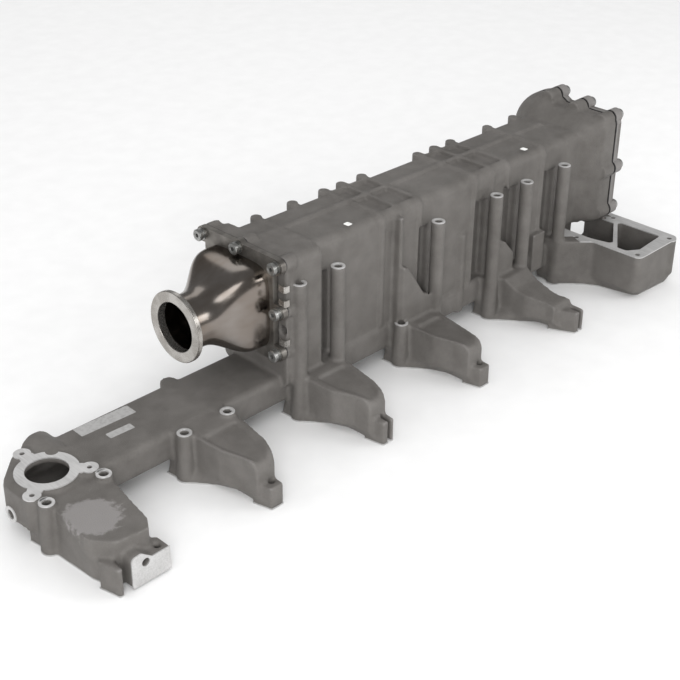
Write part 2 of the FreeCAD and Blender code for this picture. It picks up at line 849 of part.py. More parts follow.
def box_solids():
    """The outlet box: straight walls, screw bosses and an undercut foot."""
    left, right, near, top = size.box_left_x, size.box_right_x, size.box_near_y, size.box_top
    upper = [
        (left - 34.0, Size.of(24.0), 0),
        (left - 34.0, Size.of(-6.0), 6.0),
        (left - 12.0, Size.of(-24.0), 10.0),
        (left, Size.of(-36.0), 10.0),
        (left, near, 9.0),
        (right, near, 9.0),
        (right, Size.of(24.0), 0),
    ]
    lower = [
        (left - 30.0, Size.of(24.0), 0),
        (left - 30.0, Size.of(-6.0), 6.0),
        (left - 6.0, Size.of(-32.0), 10.0),
        (left + 4.0, Size.of(-50.0), 10.0),
        (left + 16.0, near + 8.0, 9.0),
        (right - 6.0, near + 4.0, 9.0),
        (right - 6.0, Size.of(24.0), 0),
    ]
    shelf_level = size.arm_shelf
    shelf = profile("box_shelf", "XY", shelf_level, upper)
    foot = profile("box_foot", "XY", 0.0, lower)
    solids = [
        extrude("box_body", shelf, top - shelf_level),
        loft("box_undercut", foot, shelf, ruled=True),
    ]
    for number, (x, y) in enumerate(BOX_SCREWS, start=1):
        solids.append(cylinder(
            f"box_boss_{number}", size.box_boss_radius, top - shelf_level, x, y, shelf_level,
        ))
    return solids


def gusset_solids():
    """Upright ribs between pillars and the blind boss on the near wall."""
    four, five = ARM_X["four"], ARM_X["five"]
    deck = size.arm_deck - 4.0
    four_gusset = [
        (four, deck, 0), (four + 45.0, deck, 0), (four + 45.0, Size.of(74.0), 2.0),
        (four + 37.0, Size.of(77.0), 4.0), (four + 9.0, Size.of(119.0), 6.0), (four, Size.of(122.0), 0),
    ]
    five_gusset = [
        (five + 5.0, deck, 0), (five + 41.0, deck, 0), (five + 41.0, Size.of(73.0), 2.0),
        (five + 24.0, Size.of(92.0), 4.0), (five + 5.0, Size.of(103.0), 0),
    ]
    solids = [
        extrude("gusset_four", profile("gusset_four_outline", "XZ", 18.0, four_gusset), Size.of(19.0)),
        extrude("gusset_five", profile("gusset_five_outline", "XZ", 18.0, five_gusset), Size.of(19.0)),
        cylinder("blind_boss", 7.5, 102.0, 588.0, 17.0, 18.0),
        block("arm_four_rib", (four - 3.0, 3.0, size.duct_top), (four + 3.0, 20.0, 181.0)),
        block("near_pad", (five + 88.0, 5.0, 25.0), (five + 111.0, 20.0, 77.0)),
    ]
    return solids


def cavity_tools():
    """Spaces inside the casting: coolant duct, core chamber and gas chamber."""
    wall = size.wall
    duct = rounded(
        (size.duct_near_y + wall, size.duct_floor + wall), (size.duct_far_y - wall, size.duct_top - wall), 4.0
    )
    core = centred(
        size.core_y, size.core_z, size.core_width + 2 * size.core_play,
        size.core_height + 2 * size.core_play, size.gas_window_round + size.core_play,
    )
    rear = centred(size.core_y - 6.0, size.core_z, size.core_width + 14.0, size.core_height + 16.0, 10.0)
    port_one = [
        (Size.of(795.0), Size.of(20.0), 4.0), (Size.of(795.0), Size.of(-27.0), 6.0),
        (Size.of(802.0), Size.of(-57.0), 5.0), (Size.of(855.0), Size.of(-22.0), 5.0),
        (Size.of(855.0), Size.of(20.0), 6.0),
    ]
    port_two = [
        (Size.of(797.0), Size.of(-67.0), 3.0), (Size.of(797.0), Size.of(-80.0), 8.0),
        (Size.of(812.0), Size.of(-90.0), 8.0), (Size.of(864.0), Size.of(-86.0), 4.0),
        (Size.of(862.5), Size.of(-23.0), 4.0),
    ]
    floor = Size.of(8.0)
    tools = [
        extrude("duct_space", profile("duct_space_section", "YZ", size.duct_front_x + wall, duct),
                size.duct_rear_x - size.duct_front_x - 2 * wall - 30.0),
        extrude("core_space", profile("core_space_section", "YZ", size.jacket_front_x - 1.0, core),
                size.tube_rear_x - size.jacket_front_x + 2.0),
        extrude("gas_chamber", profile("gas_chamber_section", "YZ", size.tube_rear_x, rear),
                size.rear_face_x - size.tube_rear_x + 1.0),
        extrude("port_one", profile("port_one_outline", "XY", floor, port_one), size.box_top - floor + 1.0),
        extrude("port_two", profile("port_two_outline", "XY", floor, port_two), size.box_top - floor + 1.0),
        block("gas_way", (size.tube_rear_x, Size.of(6.0), Size.of(30.0)), (Size.of(856.0), Size.of(60.0), Size.of(90.0))),
        cylinder("port_bore", size.port_radius, Size.of(30.0), size.port_x, size.port_y, size.duct_top - 20.0),
    ]
    return tools


def hole_tools():
    """Bolt bores, tapped holes and openings of the casting."""
    tools = []
    for bolts, top in ((LOW_BOLTS, size.low_top), (TALL_BOLTS, size.tall_top)):
        for name, x in bolts.items():
            tools.append(cylinder("bore_" + name, size.bolt_bore_radius, top + 2.0, x, 0.0, -1.0))
    for number, angle in enumerate(port_lugs(), start=1):
        x, y = on_port(angle, size.port_screw_circle)
        tools.append(cylinder(
            f"port_screw_{number}", size.port_screw_radius, size.port_screw_depth + 1.0,
            x, y, size.low_top - size.port_screw_depth,
        ))
    for number, (x, y) in enumerate(BOX_SCREWS, start=1):
        tools.append(cylinder(f"box_screw_{number}", size.box_screw_radius, Size.of(26.0), x, y, size.box_top - 25.0))
    for number, (y, z) in enumerate(FRONT_SCREWS, start=1):
        tools.append(cylinder(
            f"front_screw_hole_{number}", size.front_screw_radius, size.front_screw_length - 6.0,
            size.jacket_front_x - 1.0, size.core_y + y, size.core_z + z, along="X",
        ))
    for number, (y, z) in enumerate(REAR_SCREWS, start=1):
        tools.append(cylinder(
            f"rear_screw_hole_{number}", size.rear_screw_radius, size.rear_lug_length - 4.0,
            size.rear_face_x - size.rear_lug_length + 5.0, y, z, along="X",
        ))
    for name in ("two", "four"):
        tools.append(cylinder(
            f"tip_hole_{name}", size.tip_hole_radius, Size.of(20.0), ARM_X[name] + 33.0, -87.5, 6.0,
        ))
    tools.append(cylinder("first_tip_hole", size.tip_hole_radius, Size.of(22.0), 52.5, -89.0, 8.0))
    tools.append(cylinder("first_side_hole", 4.2, Size.of(21.0), 32.7, size.arm_tip_y - 1.0, 24.0, along="Y"))
    tools.append(cylinder("side_boss_hole", 5.0, Size.of(16.0), size.duct_front_x - size.duct_end_reach - 3.0,
                          size.side_boss_y, size.side_boss_z, along="X"))
    tools.append(cylinder("front_face_hole", 5.0, Size.of(16.0), size.jacket_front_x - 1.0, 9.0, 108.0, along="X"))
    return tools


def recess_tools():
    """Recesses beside the tall pillars and pockets in the jacket's top."""
    tools = []
    for name, rib in RECESS_RIBS.items():
        pillar = TALL_BOLTS[name]
        corners = [
            (Size.of(rib), size.duct_top, 0),
            (pillar, size.duct_top, 0),
            (pillar, Size.of(152.0), 0),
            (Size.of(rib + 2.5), Size.of(152.0), 7.0),
            (Size.of(rib + 1.0), Size.of(182.0), 0),
            (Size.of(rib), Size.of(182.0), 0),
        ]
        tools.append(extrude(
            "recess_" + name, profile(f"recess_{name}_outline", "XZ", size.recess_floor_y, corners),
            size.recess_floor_y + 2.0,
        ))
    half = size.rib_width / 2
    for number, (start, end) in enumerate(NARROW_BAYS, start=1):
        for side, low, high in (("near", size.jacket_near_y + 9.0, size.core_y - half),
                                ("far", size.core_y + half, size.jacket_far_y - 9.0)):
            pocket = rounded((start + half, low), (end - half, high), 3.0)
            tools.append(extrude(
                f"pocket_{side}_{number}",
                profile(f"pocket_{side}_outline_{number}", "XY", size.jacket_top + 2.4 - size.narrow_bay_pocket, pocket),
                size.narrow_bay_pocket + 4.0,
            ))
    return tools


def housing():
    """The casting with all of its spaces, holes and pockets."""
    arms = first_arm()
    for name in ARM_FORMS:
        arms += arm_solids(name)
    recessed = cut("jacket_with_recesses", fuse("jacket_body", jacket_solids()), recess_tools())
    groups = [
        recessed,
        fuse("rear_body", rear_solids()),
        fuse("duct_body", duct_solids()),
        fuse("pillar_body", pillar_solids()),
        fuse("arm_body", arms),
        fuse("box_group", box_solids()),
        fuse("gusset_body", gusset_solids()),
    ]
    body = groups[0]
    for number, group in enumerate(groups[1:], start=1):
        body = join(f"casting_{number}", body, group)
    pockets = [deck_pocket(name) for name in ("two", "three", "four")]
    slopes = [deck_slope(name) for name in ARM_FORMS]
    slots = [fork_slot(name) for name in FORKED]
    return cut("housing", body, cavity_tools() + hole_tools() + pockets + slopes + slots)


def plate_ears(name, x, thick, radius):
    """Ears of a front plate: a disc round every screw and a web back to the plate."""
    solids = []
    for number, (y, z) in enumerate(FRONT_SCREWS, start=1):
        y, z = size.core_y + y, size.core_z + z
        solids.append(cylinder(f"{name}_ear_{number}", radius, thick, x, y, z, "X"))
        if abs(y.value - size.core_y.value) > size.flange_width.value / 2:
            low, high = sorted((y, size.core_y), key=lambda amount: amount.value)
            solids.append(block(f"{name}_web_{number}", (x, low, z - radius), (x + thick, high, z + radius)))
    return solids


def core_flange():
    """Stainless front plate with an ear for every screw and the gas window."""
    x = size.jacket_front_x - size.gasket_thick - size.flange_thick
    outer = centred(size.core_y, size.core_z, size.flange_width, size.flange_height, size.flange_round)
    plate = extrude("core_flange_sheet", profile("core_flange_outline", "YZ", x, outer), size.flange_thick)
    ears = plate_ears("flange", x, size.flange_thick, size.ear_radius)
    window = centred(
        size.core_y, size.core_z, size.gas_window_width, size.gas_window_height, size.gas_window_round
    )
    tools = [extrude("gas_window", profile("gas_window_outline", "YZ", x - 1.0, window), size.flange_thick + 2.0)]
    tools += [cylinder(f"ear_hole_{number}", size.front_screw_hole, size.flange_thick + 2.0,
                       x - 1.0, size.core_y + y, size.core_z + z, "X")
              for number, (y, z) in enumerate(FRONT_SCREWS, start=1)]
    return cut("core_flange", fuse("core_flange_body", [plate] + ears), tools)


def front_gasket():
    """Gasket between the core flange and the casting."""
    x = size.jacket_front_x - size.gasket_thick
    outer = centred(size.core_y, size.core_z, size.flange_width - 2.0, size.flange_height - 2.0, size.flange_round)
    sheet = extrude("front_gasket_sheet", profile("front_gasket_outline", "YZ", x, outer), size.gasket_thick)
    ears = plate_ears("gasket", x, size.gasket_thick, size.ear_radius - 0.8)
    window = centred(
        size.core_y, size.core_z, size.core_width + 2 * size.core_play,
        size.core_height + 2 * size.core_play, size.gas_window_round + size.core_play,
    )
    tools = [extrude("gasket_window", profile("gasket_window_outline", "YZ", x - 1.0, window), size.gasket_thick + 2.0)]
    tools += [cylinder(f"gasket_hole_{number}", size.front_screw_hole, size.gasket_thick + 2.0,
                       x - 1.0, size.core_y + y, size.core_z + z, "X")
              for number, (y, z) in enumerate(FRONT_SCREWS, start=1)]
    return cut("front_gasket", fuse("front_gasket_body", [sheet] + ears), tools)


CONE_STATIONS = (
    # distance from the small end, width, height and corner as shares of the way to the big end
    (0.0, 0.0), (0.2, 0.03), (0.4, 0.24), (0.6, 0.70), (0.78, 0.97), (1.0, 1.0),
)


def cone_sections(name, inset):
    """Sections of the inlet cone from the pipe to the rounded square."""
    start_x = size.clamp_face_x + size.clamp_neck
    end_x = size.jacket_front_x - size.gasket_thick - size.flange_thick
    sections = []
    for number, (along, grown) in enumerate(CONE_STATIONS, start=1):
        x = start_x + (end_x - start_x) * along
        y = size.inlet_y + (size.core_y - size.inlet_y) * grown
        z = size.inlet_z + (size.core_z - size.inlet_z) * grown
        width = 2 * size.pipe_radius + (size.cone_end_width - 2 * size.pipe_radius) * grown - 2 * inset
        height = 2 * size.pipe_radius + (size.cone_end_height - 2 * size.pipe_radius) * grown - 2 * inset
        corner = size.pipe_radius + (size.cone_end_round - size.pipe_radius) * grown - inset - 0.5
        sections.append(profile(f"{name}_{number}", "YZ", x, centred(y, z, width, height, corner)))
    return sections


def inlet_cone():
    """Pressed sheet cone from the clamp flange to the core flange."""
    outside = loft("cone_outside", *cone_sections("cone_outer", Size.of(0.0)), ruled=True)
    inside = loft("cone_inside", *cone_sections("cone_inner", size.sheet), ruled=True)
    return cut("inlet_cone", outside, [inside])


def vband_flange():
    """Turned ring whose sloped back takes the V-shaped clamp."""
    body = doc.addObject("PartDesign::Body", "vband_flange")
    sketch = body.newObject("Sketcher::SketchObject", "vband_section")
    plane = [item for item in body.Origin.OriginFeatures if item.Role == "XY_Plane"][0]
    sketch.AttachmentSupport = [(plane, "")]
    sketch.MapMode = "FlatFace"
    bore = size.clamp_bore_radius
    rim = size.clamp_radius
    thick = size.clamp_thick
    draw_loop(sketch, [
        (Size.of(0.0), bore, 0.6), (size.clamp_neck, bore, 0), (size.clamp_neck, size.pipe_radius, 0),
        (thick + 1.0, size.pipe_radius + 0.6, 0), (thick - 1.0, rim, 1.0), (Size.of(0.0), rim, 1.0),
    ])
    doc.recompute()
    turned = body.newObject("PartDesign::Revolution", "vband_ring")
    turned.Profile = sketch
    turned.ReferenceAxis = (sketch, ["H_Axis"])
    turned.Angle = 360
    place(body, Rotation(), size.clamp_face_x, size.inlet_y, size.inlet_z)
    return body


def tube_levels():
    """Heights of the gas tubes, evenly spaced about the core's axis."""
    count = 8
    return [size.core_z + size.tube_count_pitch * (index - (count - 1) / 2) for index in range(count)]


def tube_outline(level, inset):
    """Flat tube section with fully rounded edges."""
    width = size.tube_width - 2 * inset
    height = size.tube_height - 2 * inset
    return centred(size.core_y, level, width, height, height / 2 - 0.2)


def tubes():
    """Flat gas tubes, each welded into both headers."""
    start = size.jacket_front_x - size.gasket_thick
    length = size.tube_rear_x - start
    result = []
    for number, level in enumerate(tube_levels(), start=1):
        sketch = profile(f"tube_section_{number}", "YZ", start, tube_outline(level, Size.of(0.0)),
                         tube_outline(level, size.tube_wall))
        result.append(extrude(f"gas_tube_{number}", sketch, length))
    return result


def fins():
    """Corrugated strip in every tube: it carries heat from the gas to the wall."""
    start = size.jacket_front_x + size.fin_set_back
    length = size.tube_rear_x - start - size.fin_set_back
    half = size.tube_height / 2 - size.tube_wall - size.fin_play
    thick = size.fin_thick
    folds = 6
    result = []
    for number, level in enumerate(tube_levels(), start=1):
        top, bottom = [], []
        for fold in range(folds):
            y = size.core_y + size.fin_pitch * (fold - folds / 2)
            flank = size.fin_pitch / 2
            top += [(y, level - half + thick, 0), (y + flank - thick, level - half + thick, 0),
                    (y + flank - thick, level + half, 0), (y + 2 * flank, level + half, 0)]
            bottom += [(y, level - half, 0), (y + flank, level - half, 0),
                       (y + flank, level + half - thick, 0), (y + 2 * flank - thick, level + half - thick, 0)]
        loop = top + bottom[::-1]
        result.append(extrude(f"fin_{number}", profile(f"fin_section_{number}", "YZ", start, loop), length))
    return result


def slotted_plate(name, x, thick, play, outer):
    """A plate across the core with a slot for every tube."""
    plate = extrude(name + "_sheet", profile(name + "_outline", "YZ", x, outer), thick)
    slots = [
        extrude(f"{name}_slot_{number}",
                profile(f"{name}_slot_outline_{number}", "YZ", x - 1.0, tube_outline(level, -play)), thick + 2.0)
        for number, level in enumerate(tube_levels(), start=1)
    ]
    return cut(name, plate, slots)


def headers():
    outer = centred(size.core_y, size.core_z, size.core_width, size.core_height, size.gas_window_round)
    front = slotted_plate("front_header", size.jacket_front_x - size.gasket_thick, size.header_thick, Size.of(0.0), outer)
    rear = slotted_plate("rear_header", size.tube_rear_x - size.header_thick, size.header_thick, Size.of(0.0), outer)
    return [front, rear]


def supports():
    outer = centred(size.core_y, size.core_z, size.core_width, size.core_height - 12.0, size.gas_window_round)
    span = size.tube_rear_x - size.jacket_front_x
    return [slotted_plate(f"tube_support_{number}", size.jacket_front_x + span * (number / 4),
                          size.support_thick, size.support_play, outer) for number in (1, 2, 3)]


def rear_cover():
    """Rear cover plate with a lug for every screw and a shallow dish."""
    x = size.rear_face_x + size.gasket_thick
    outer = rounded((size.rear_near_y, size.rear_bottom), (size.rear_far_y, size.rear_top), size.rear_round)
    solids = [
        extrude("cover_sheet", profile("cover_outline", "YZ", x, outer), size.cover_thick),
        cylinder("cover_bulge", size.bulge_radius, size.cover_thick, x, size.bulge_y, size.bulge_z, "X"),
    ]
    solids += [cylinder(f"cover_lug_{number}", size.rear_lug_radius, size.cover_lug_thick, x, y, z, "X")
               for number, (y, z) in enumerate(REAR_SCREWS, start=1)]
    raised = rounded((size.rear_near_y + 20.0, size.rear_bottom + 20.0),
                     (size.rear_far_y - 20.0, size.rear_top - 20.0), size.rear_round)
    solids.append(extrude("cover_raised", profile("cover_raised_outline", "YZ", x, raised),
                          size.cover_thick + size.cover_dish, draft=-20.0))
    holes = [cylinder(f"cover_hole_{number}", size.rear_screw_hole, size.cover_lug_thick + 2.0, x - 1.0, y, z, "X")
             for number, (y, z) in enumerate(REAR_SCREWS, start=1)]
    return cut("rear_cover", fuse("rear_cover_body", solids), holes)


def rear_gasket():
    x = size.rear_face_x
    outer = rounded((size.rear_near_y, size.rear_bottom), (size.rear_far_y, size.rear_top), size.rear_round)
    solids = [
        extrude("rear_gasket_sheet", profile("rear_gasket_outline", "YZ", x, outer), size.gasket_thick),
        cylinder("rear_gasket_bulge", size.bulge_radius, size.gasket_thick, x, size.bulge_y, size.bulge_z, "X"),
    ]
    solids += [cylinder(f"rear_gasket_ear_{number}", size.rear_lug_radius, size.gasket_thick, x, y, z, "X")
               for number, (y, z) in enumerate(REAR_SCREWS, start=1)]
    window = centred(size.core_y - 6.0, size.core_z, size.core_width + 14.0, size.core_height + 16.0, 10.0)
    tools = [extrude("rear_gasket_window", profile("rear_gasket_window_outline", "YZ", x - 1.0, window),
                     size.gasket_thick + 2.0)]
    tools += [cylinder(f"rear_gasket_hole_{number}", size.rear_screw_hole, size.gasket_thick + 2.0, x - 1.0, y, z, "X")
              for number, (y, z) in enumerate(REAR_SCREWS, start=1)]
    return cut("rear_gasket", fuse("rear_gasket_body", solids), tools)


def hexagon(y, z, radius):
    """Six corners of a socket about a screw's axis."""
    corners = []
    for step in range(6):
        angle = math.radians(60 * step)
        corners.append((y + radius * round(math.cos(angle), 6), z + radius * round(math.sin(angle), 6), 0))
    return corners


def screw(name, shank_radius, shank_length, head_radius, head_height, seat_x, y, z, facing):
    """A cap screw along X; facing is -1 where its head looks towards -X."""
    if facing < 0:
        shank_x, head_x, socket_x = seat_x, seat_x - head_height, seat_x - head_height
    else:
        shank_x, head_x, socket_x = seat_x - shank_length, seat_x, seat_x + head_height / 2
    solids = [
        cylinder(name + "_shank", shank_radius, shank_length, shank_x, y, z, "X"),
        cylinder(name + "_head", head_radius, head_height, head_x, y, z, "X"),
    ]
    socket = extrude(name + "_socket", profile(name + "_socket_outline", "YZ", socket_x,
                                               hexagon(y, z, head_radius * size.hex_share.value)), head_height / 2)
    return solids, socket


def front_screws():
    """Cap screws with a washer face, one node each."""
    seat = size.jacket_front_x - size.gasket_thick - size.flange_thick
    result = []
    for number, (y, z) in enumerate(FRONT_SCREWS, start=1):
        y, z = size.core_y + y, size.core_z + z
        solids, socket = screw(f"front_screw_{number}", size.front_screw_radius - 0.15, size.front_screw_length,
                               size.front_head_radius, size.front_head_height + size.front_washer_thick,
                               seat, y, z, -1)
        solids.append(cylinder(f"front_screw_{number}_washer", size.front_washer_radius, size.front_washer_thick,
                               seat - size.front_washer_thick, y, z, "X"))
        result.append(cut(f"front_bolt_{number}", fuse(f"front_screw_{number}_body", solids), [socket]))
    return result


def rear_screws():
    """Cap screws of the rear cover."""
    seat = size.rear_face_x + size.gasket_thick + size.cover_lug_thick
    result = []
    for number, (y, z) in enumerate(REAR_SCREWS, start=1):
        solids, socket = screw(f"rear_screw_{number}", size.rear_screw_radius - 0.15, size.rear_screw_length,
                               size.rear_head_radius, size.rear_head_height, seat, Size.of(y), Size.of(z), 1)
        result.append(cut(f"rear_bolt_{number}", fuse(f"rear_screw_{number}_body", solids), [socket]))
    return result


def rear_seal():
    """Rubber ring between the rear header and the casting, so that the core can grow when hot."""
    x = size.tube_rear_x - size.header_thick - size.seal_section
    outer = centred(size.core_y, size.core_z, size.core_width + 2 * size.core_play,
                    size.core_height + 2 * size.core_play, size.gas_window_round + size.core_play)
    inner = centred(size.core_y, size.core_z, size.tube_width + 4.0,
                    size.core_height - 4.0, size.gas_window_round)
    return extrude("rear_seal", profile("rear_seal_outline", "YZ", x, outer, inner), size.seal_section)


nodes = [housing(), core_flange(), front_gasket(), inlet_cone(), vband_flange()]
nodes += headers() + supports() + tubes() + fins()
nodes += [rear_seal(), rear_gasket(), rear_cover()]
nodes += front_screws() + rear_screws()

doc.recompute()

for item in doc.Objects:
    if "Invalid" in item.State or "Error" in item.State:
        raise RuntimeError(f"{item.Name} failed: {item.State}")

os.makedirs("parts", exist_ok=True)
for node in nodes:
    shape = node.Shape
    if shape.isNull() or not shape.isValid():
        raise RuntimeError(f"{node.Name} has no valid shape")
    node.Label = node.Name
    shape.exportStep(os.path.join("parts", f"{node.Label}.step"))
    print(f"{node.Label}: {len(shape.Solids)} solid, {shape.Volume / 1000:.1f} cm3")
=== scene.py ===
"""Looks of an EGR cooler: cast housing, gas inlet, screws, labels and studio.

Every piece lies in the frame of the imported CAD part: metres, the origin on the
first bolt hole in the mating plane, X along the engine, arms towards -Y, Z up.
"""

from __future__ import annotations

import json
import logging
import math
from dataclasses import dataclass, field
from enum import Enum
from typing import Any, Iterable, Sequence

import bmesh
import bpy
from mathutils import Matrix, Vector

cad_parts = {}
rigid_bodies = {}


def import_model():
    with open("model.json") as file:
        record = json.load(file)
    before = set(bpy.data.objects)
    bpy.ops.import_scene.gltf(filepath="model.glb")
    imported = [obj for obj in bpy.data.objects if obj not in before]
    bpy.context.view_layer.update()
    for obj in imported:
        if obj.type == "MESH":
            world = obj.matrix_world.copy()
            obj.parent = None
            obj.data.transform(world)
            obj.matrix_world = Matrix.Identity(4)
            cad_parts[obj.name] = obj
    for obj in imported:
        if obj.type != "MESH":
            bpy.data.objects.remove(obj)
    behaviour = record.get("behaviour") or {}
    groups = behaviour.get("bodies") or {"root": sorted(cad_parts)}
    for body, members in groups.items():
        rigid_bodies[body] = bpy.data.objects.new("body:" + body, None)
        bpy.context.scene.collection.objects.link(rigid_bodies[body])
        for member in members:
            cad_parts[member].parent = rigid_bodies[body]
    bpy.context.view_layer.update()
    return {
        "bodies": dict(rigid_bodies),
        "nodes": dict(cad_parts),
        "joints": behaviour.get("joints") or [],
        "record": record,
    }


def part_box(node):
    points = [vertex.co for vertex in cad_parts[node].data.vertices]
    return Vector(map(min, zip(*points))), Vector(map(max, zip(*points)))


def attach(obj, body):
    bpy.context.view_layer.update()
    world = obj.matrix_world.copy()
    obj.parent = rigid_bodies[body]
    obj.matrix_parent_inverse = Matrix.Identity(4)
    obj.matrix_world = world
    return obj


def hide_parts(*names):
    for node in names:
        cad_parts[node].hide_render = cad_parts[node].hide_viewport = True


log = logging.getLogger("egr_cooler")

MM = 0.001
TURNED_WELD = 1e-6  # metres within which the corners of a turned body become one
NODE_WELD = 2e-6  # metres within which the corners of a CAD mesh become one
Colour = tuple[float, float, float]
Point = tuple[float, float, float]
Span = tuple[float, float]


class Slot(Enum):
    """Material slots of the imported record."""

    CASTING = "cast_aluminium"
    PLATE = "front_plate"
    CONE = "stainless_cone"
    CLAMP = "clamp_flange"
    CORE = "core_steel"
    SCREW = "zinc_screw"
    GASKET = "gasket"
    SEAL = "seal"


class Axis(Enum):
    """Direction of a turned piece's axis."""

    X = Matrix.Rotation(math.radians(90), 4, "Y")
    Z = Matrix.Identity(4)


class Signal:
    """A shader value on which Python's operators add Math nodes."""

    def __init__(self, graph: Graph, socket: bpy.types.NodeSocket) -> None:
        """Wraps a socket of a graph.

        Args:
            graph: The graph that the socket belongs to.
            socket: An output socket with one number.
        """
        self.graph = graph
        self.socket = socket

    def __add__(self, other: Signal | float) -> Signal:
        """Sum of two values."""
        return self.graph.math("ADD", self, other)

    def __radd__(self, other: float) -> Signal:
        """Sum with a number on the left."""
        return self.graph.math("ADD", other, self)

    def __sub__(self, other: Signal | float) -> Signal:
        """Difference of two values."""
        return self.graph.math("SUBTRACT", self, other)

    def __rsub__(self, other: float) -> Signal:
        """Difference from a number on the left."""
        return self.graph.math("SUBTRACT", other, self)

    def __mul__(self, other: Signal | float) -> Signal:
        """Product of two values."""
        return self.graph.math("MULTIPLY", self, other)

    def clamped(self) -> Signal:
        """The value kept between 0 and 1."""
        return self.graph.math("MINIMUM", self.graph.math("MAXIMUM", self, 0.0), 1.0)


class Graph:
    """Node tree of one material, with its Principled shader."""

    def __init__(self, name: str) -> None:
        """Makes the material.

        Args:
            name: Name of the material.
        """
        self.material = bpy.data.materials.new(name)
        self.material.use_nodes = True
        self.tree = self.material.node_tree
        self.shader = self.tree.nodes["Principled BSDF"]

    def node(self, kind: str, settings: dict[str, Any] | None = None,
             inputs: dict[str | int, Any] | None = None) -> bpy.types.Node:
        """Adds a node.

        Args:
            kind: Blender's type name of the node.
            settings: Properties to set first; stops is a ramp's list of (place, colour).
            inputs: Socket name or number to a value, a socket or a Signal.

        Returns:
            The new node.
        """
        made = self.tree.nodes.new(kind)
        for key, value in (settings or {}).items():
            if key == "stops":
                self._stops(made.color_ramp, value)
            else:
                setattr(made, key, value)
        for key, value in (inputs or {}).items():
            self.link(value, made.inputs[key])
        return made

    @staticmethod
    def _stops(ramp: bpy.types.ColorRamp, stops: Sequence[tuple[float, Colour]]) -> None:
        """Sets a ramp's stops.

        Args:
            ramp: The ramp.
            stops: Place and colour of each stop, in order.
        """
        while len(ramp.elements) < len(stops):
            ramp.elements.new(0.5)
        for element, (place, colour) in zip(ramp.elements, stops):
            element.position = place
            element.color = (*colour, 1.0)

    def link(self, value: object, socket: bpy.types.NodeSocket) -> None:
        """Sets or links an input.

        Args:
            value: A number, a colour, a socket or a Signal.
            socket: The input.
        """
        if isinstance(value, Signal):
            value = value.socket
        if isinstance(value, bpy.types.NodeSocket):
            self.tree.links.new(value, socket)
        elif socket.type == "RGBA":
            socket.default_value = (*value, 1.0)
        else:
            socket.default_value = value

    def math(self, operation: str, *values: Signal | float) -> Signal:
        """A Math node's result.

        Args:
            operation: The node's operation.
            *values: Its inputs.

        Returns:
            The result.
        """
        made = self.node("ShaderNodeMath", {"operation": operation}, dict(enumerate(values)))
        return Signal(self, made.outputs[0])

    def place(self) -> bpy.types.NodeSocket:
        """Object coordinates."""
        return self.node("ShaderNodeTexCoord").outputs["Object"]

    def stretched(self, scale: Point) -> bpy.types.NodeSocket:
        """Object coordinates with a scale for each axis.

        Args:
            scale: Factors along X, Y and Z.

        Returns:
            The scaled coordinates.
        """
        made = self.node("ShaderNodeMapping", inputs={"Vector": self.place(), "Scale": scale})
        return made.outputs["Vector"]

    def noise(self, scale: float, detail: float = 2.0, roughness: float = 0.5,
              vector: bpy.types.NodeSocket | None = None) -> Signal:
        """A noise between 0 and 1.

        Args:
            scale: Features per metre.
            detail: Number of finer octaves.
            roughness: Weight of the finer octaves.
            vector: Coordinates, or None for the piece's own.

        Returns:
            The noise.
        """
        made = self.node("ShaderNodeTexNoise", inputs={
            "Vector": vector or self.place(), "Scale": scale,
            "Detail": detail, "Roughness": roughness,
        })
        return Signal(self, made.outputs[0])

    def ramp(self, value: Signal, *stops: tuple[float, Colour]) -> bpy.types.NodeSocket:
        """Colours along a value.

        Args:
            value: The value.
            *stops: Place and colour of each stop.

        Returns:
            The colour.
        """
        made = self.node("ShaderNodeValToRGB", {"stops": stops}, {"Fac": value})
        return made.outputs["Color"]

    def mask(self, value: Signal, low: float, high: float) -> Signal:
        """A smooth step of a value from low to high.

        Args:
            value: The value.
            low: Where the step starts.
            high: Where it ends.

        Returns:
            0 below low, 1 above high.
        """
        made = self.node("ShaderNodeMapRange", {"interpolation_type": "SMOOTHSTEP"},
                         {"Value": value, "From Min": low, "From Max": high})
        return Signal(self, made.outputs["Result"])

    def ridges(self) -> Signal:
        """How far a spot stands out: about 0.5 on flat ground, more on an edge."""
        return Signal(self, self.node("ShaderNodeNewGeometry").outputs["Pointiness"])

    def near(self, spot: Point, reach: Point) -> Signal:
        """Closeness to a spot: 1 at its middle, 0 at the edge of an ellipsoid round it.

        Args:
            spot: The middle, in metres.
            reach: Half the ellipsoid's sizes, in metres.

        Returns:
            The closeness.
        """
        kind = "ShaderNodeVectorMath"
        away = self.node(kind, {"operation": "SUBTRACT"}, {0: self.place(), 1: spot})
        ratio = self.node(kind, {"operation": "DIVIDE"}, {0: away.outputs[0], 1: reach})
        far = self.node(kind, {"operation": "LENGTH"}, {0: ratio.outputs[0]})
        return (1.0 - Signal(self, far.outputs["Value"])).clamped()

    def mix(self, factor: Signal, first: object, second: object) -> bpy.types.NodeSocket:
        """A colour between two.

        Args:
            factor: 0 for the first colour, 1 for the second.
            first: A colour or a colour socket.
            second: A colour or a colour socket.

        Returns:
            The mixed colour.
        """
        made = self.node("ShaderNodeMix", {"data_type": "RGBA"},
                         {0: factor, 6: first, 7: second})
        return made.outputs[2]

    def bump(self, height: Signal, distance: float, strength: float = 1.0) -> None:
        """Feeds the shader's normal from a height.

        Args:
            height: The height, between 0 and 1.
            distance: What a height of 1 means, in metres.
            strength: How much of it shows.
        """
        made = self.node("ShaderNodeBump", inputs={
            "Height": height, "Distance": distance, "Strength": strength,
        })
        self.link(made.outputs["Normal"], self.shader.inputs["Normal"])

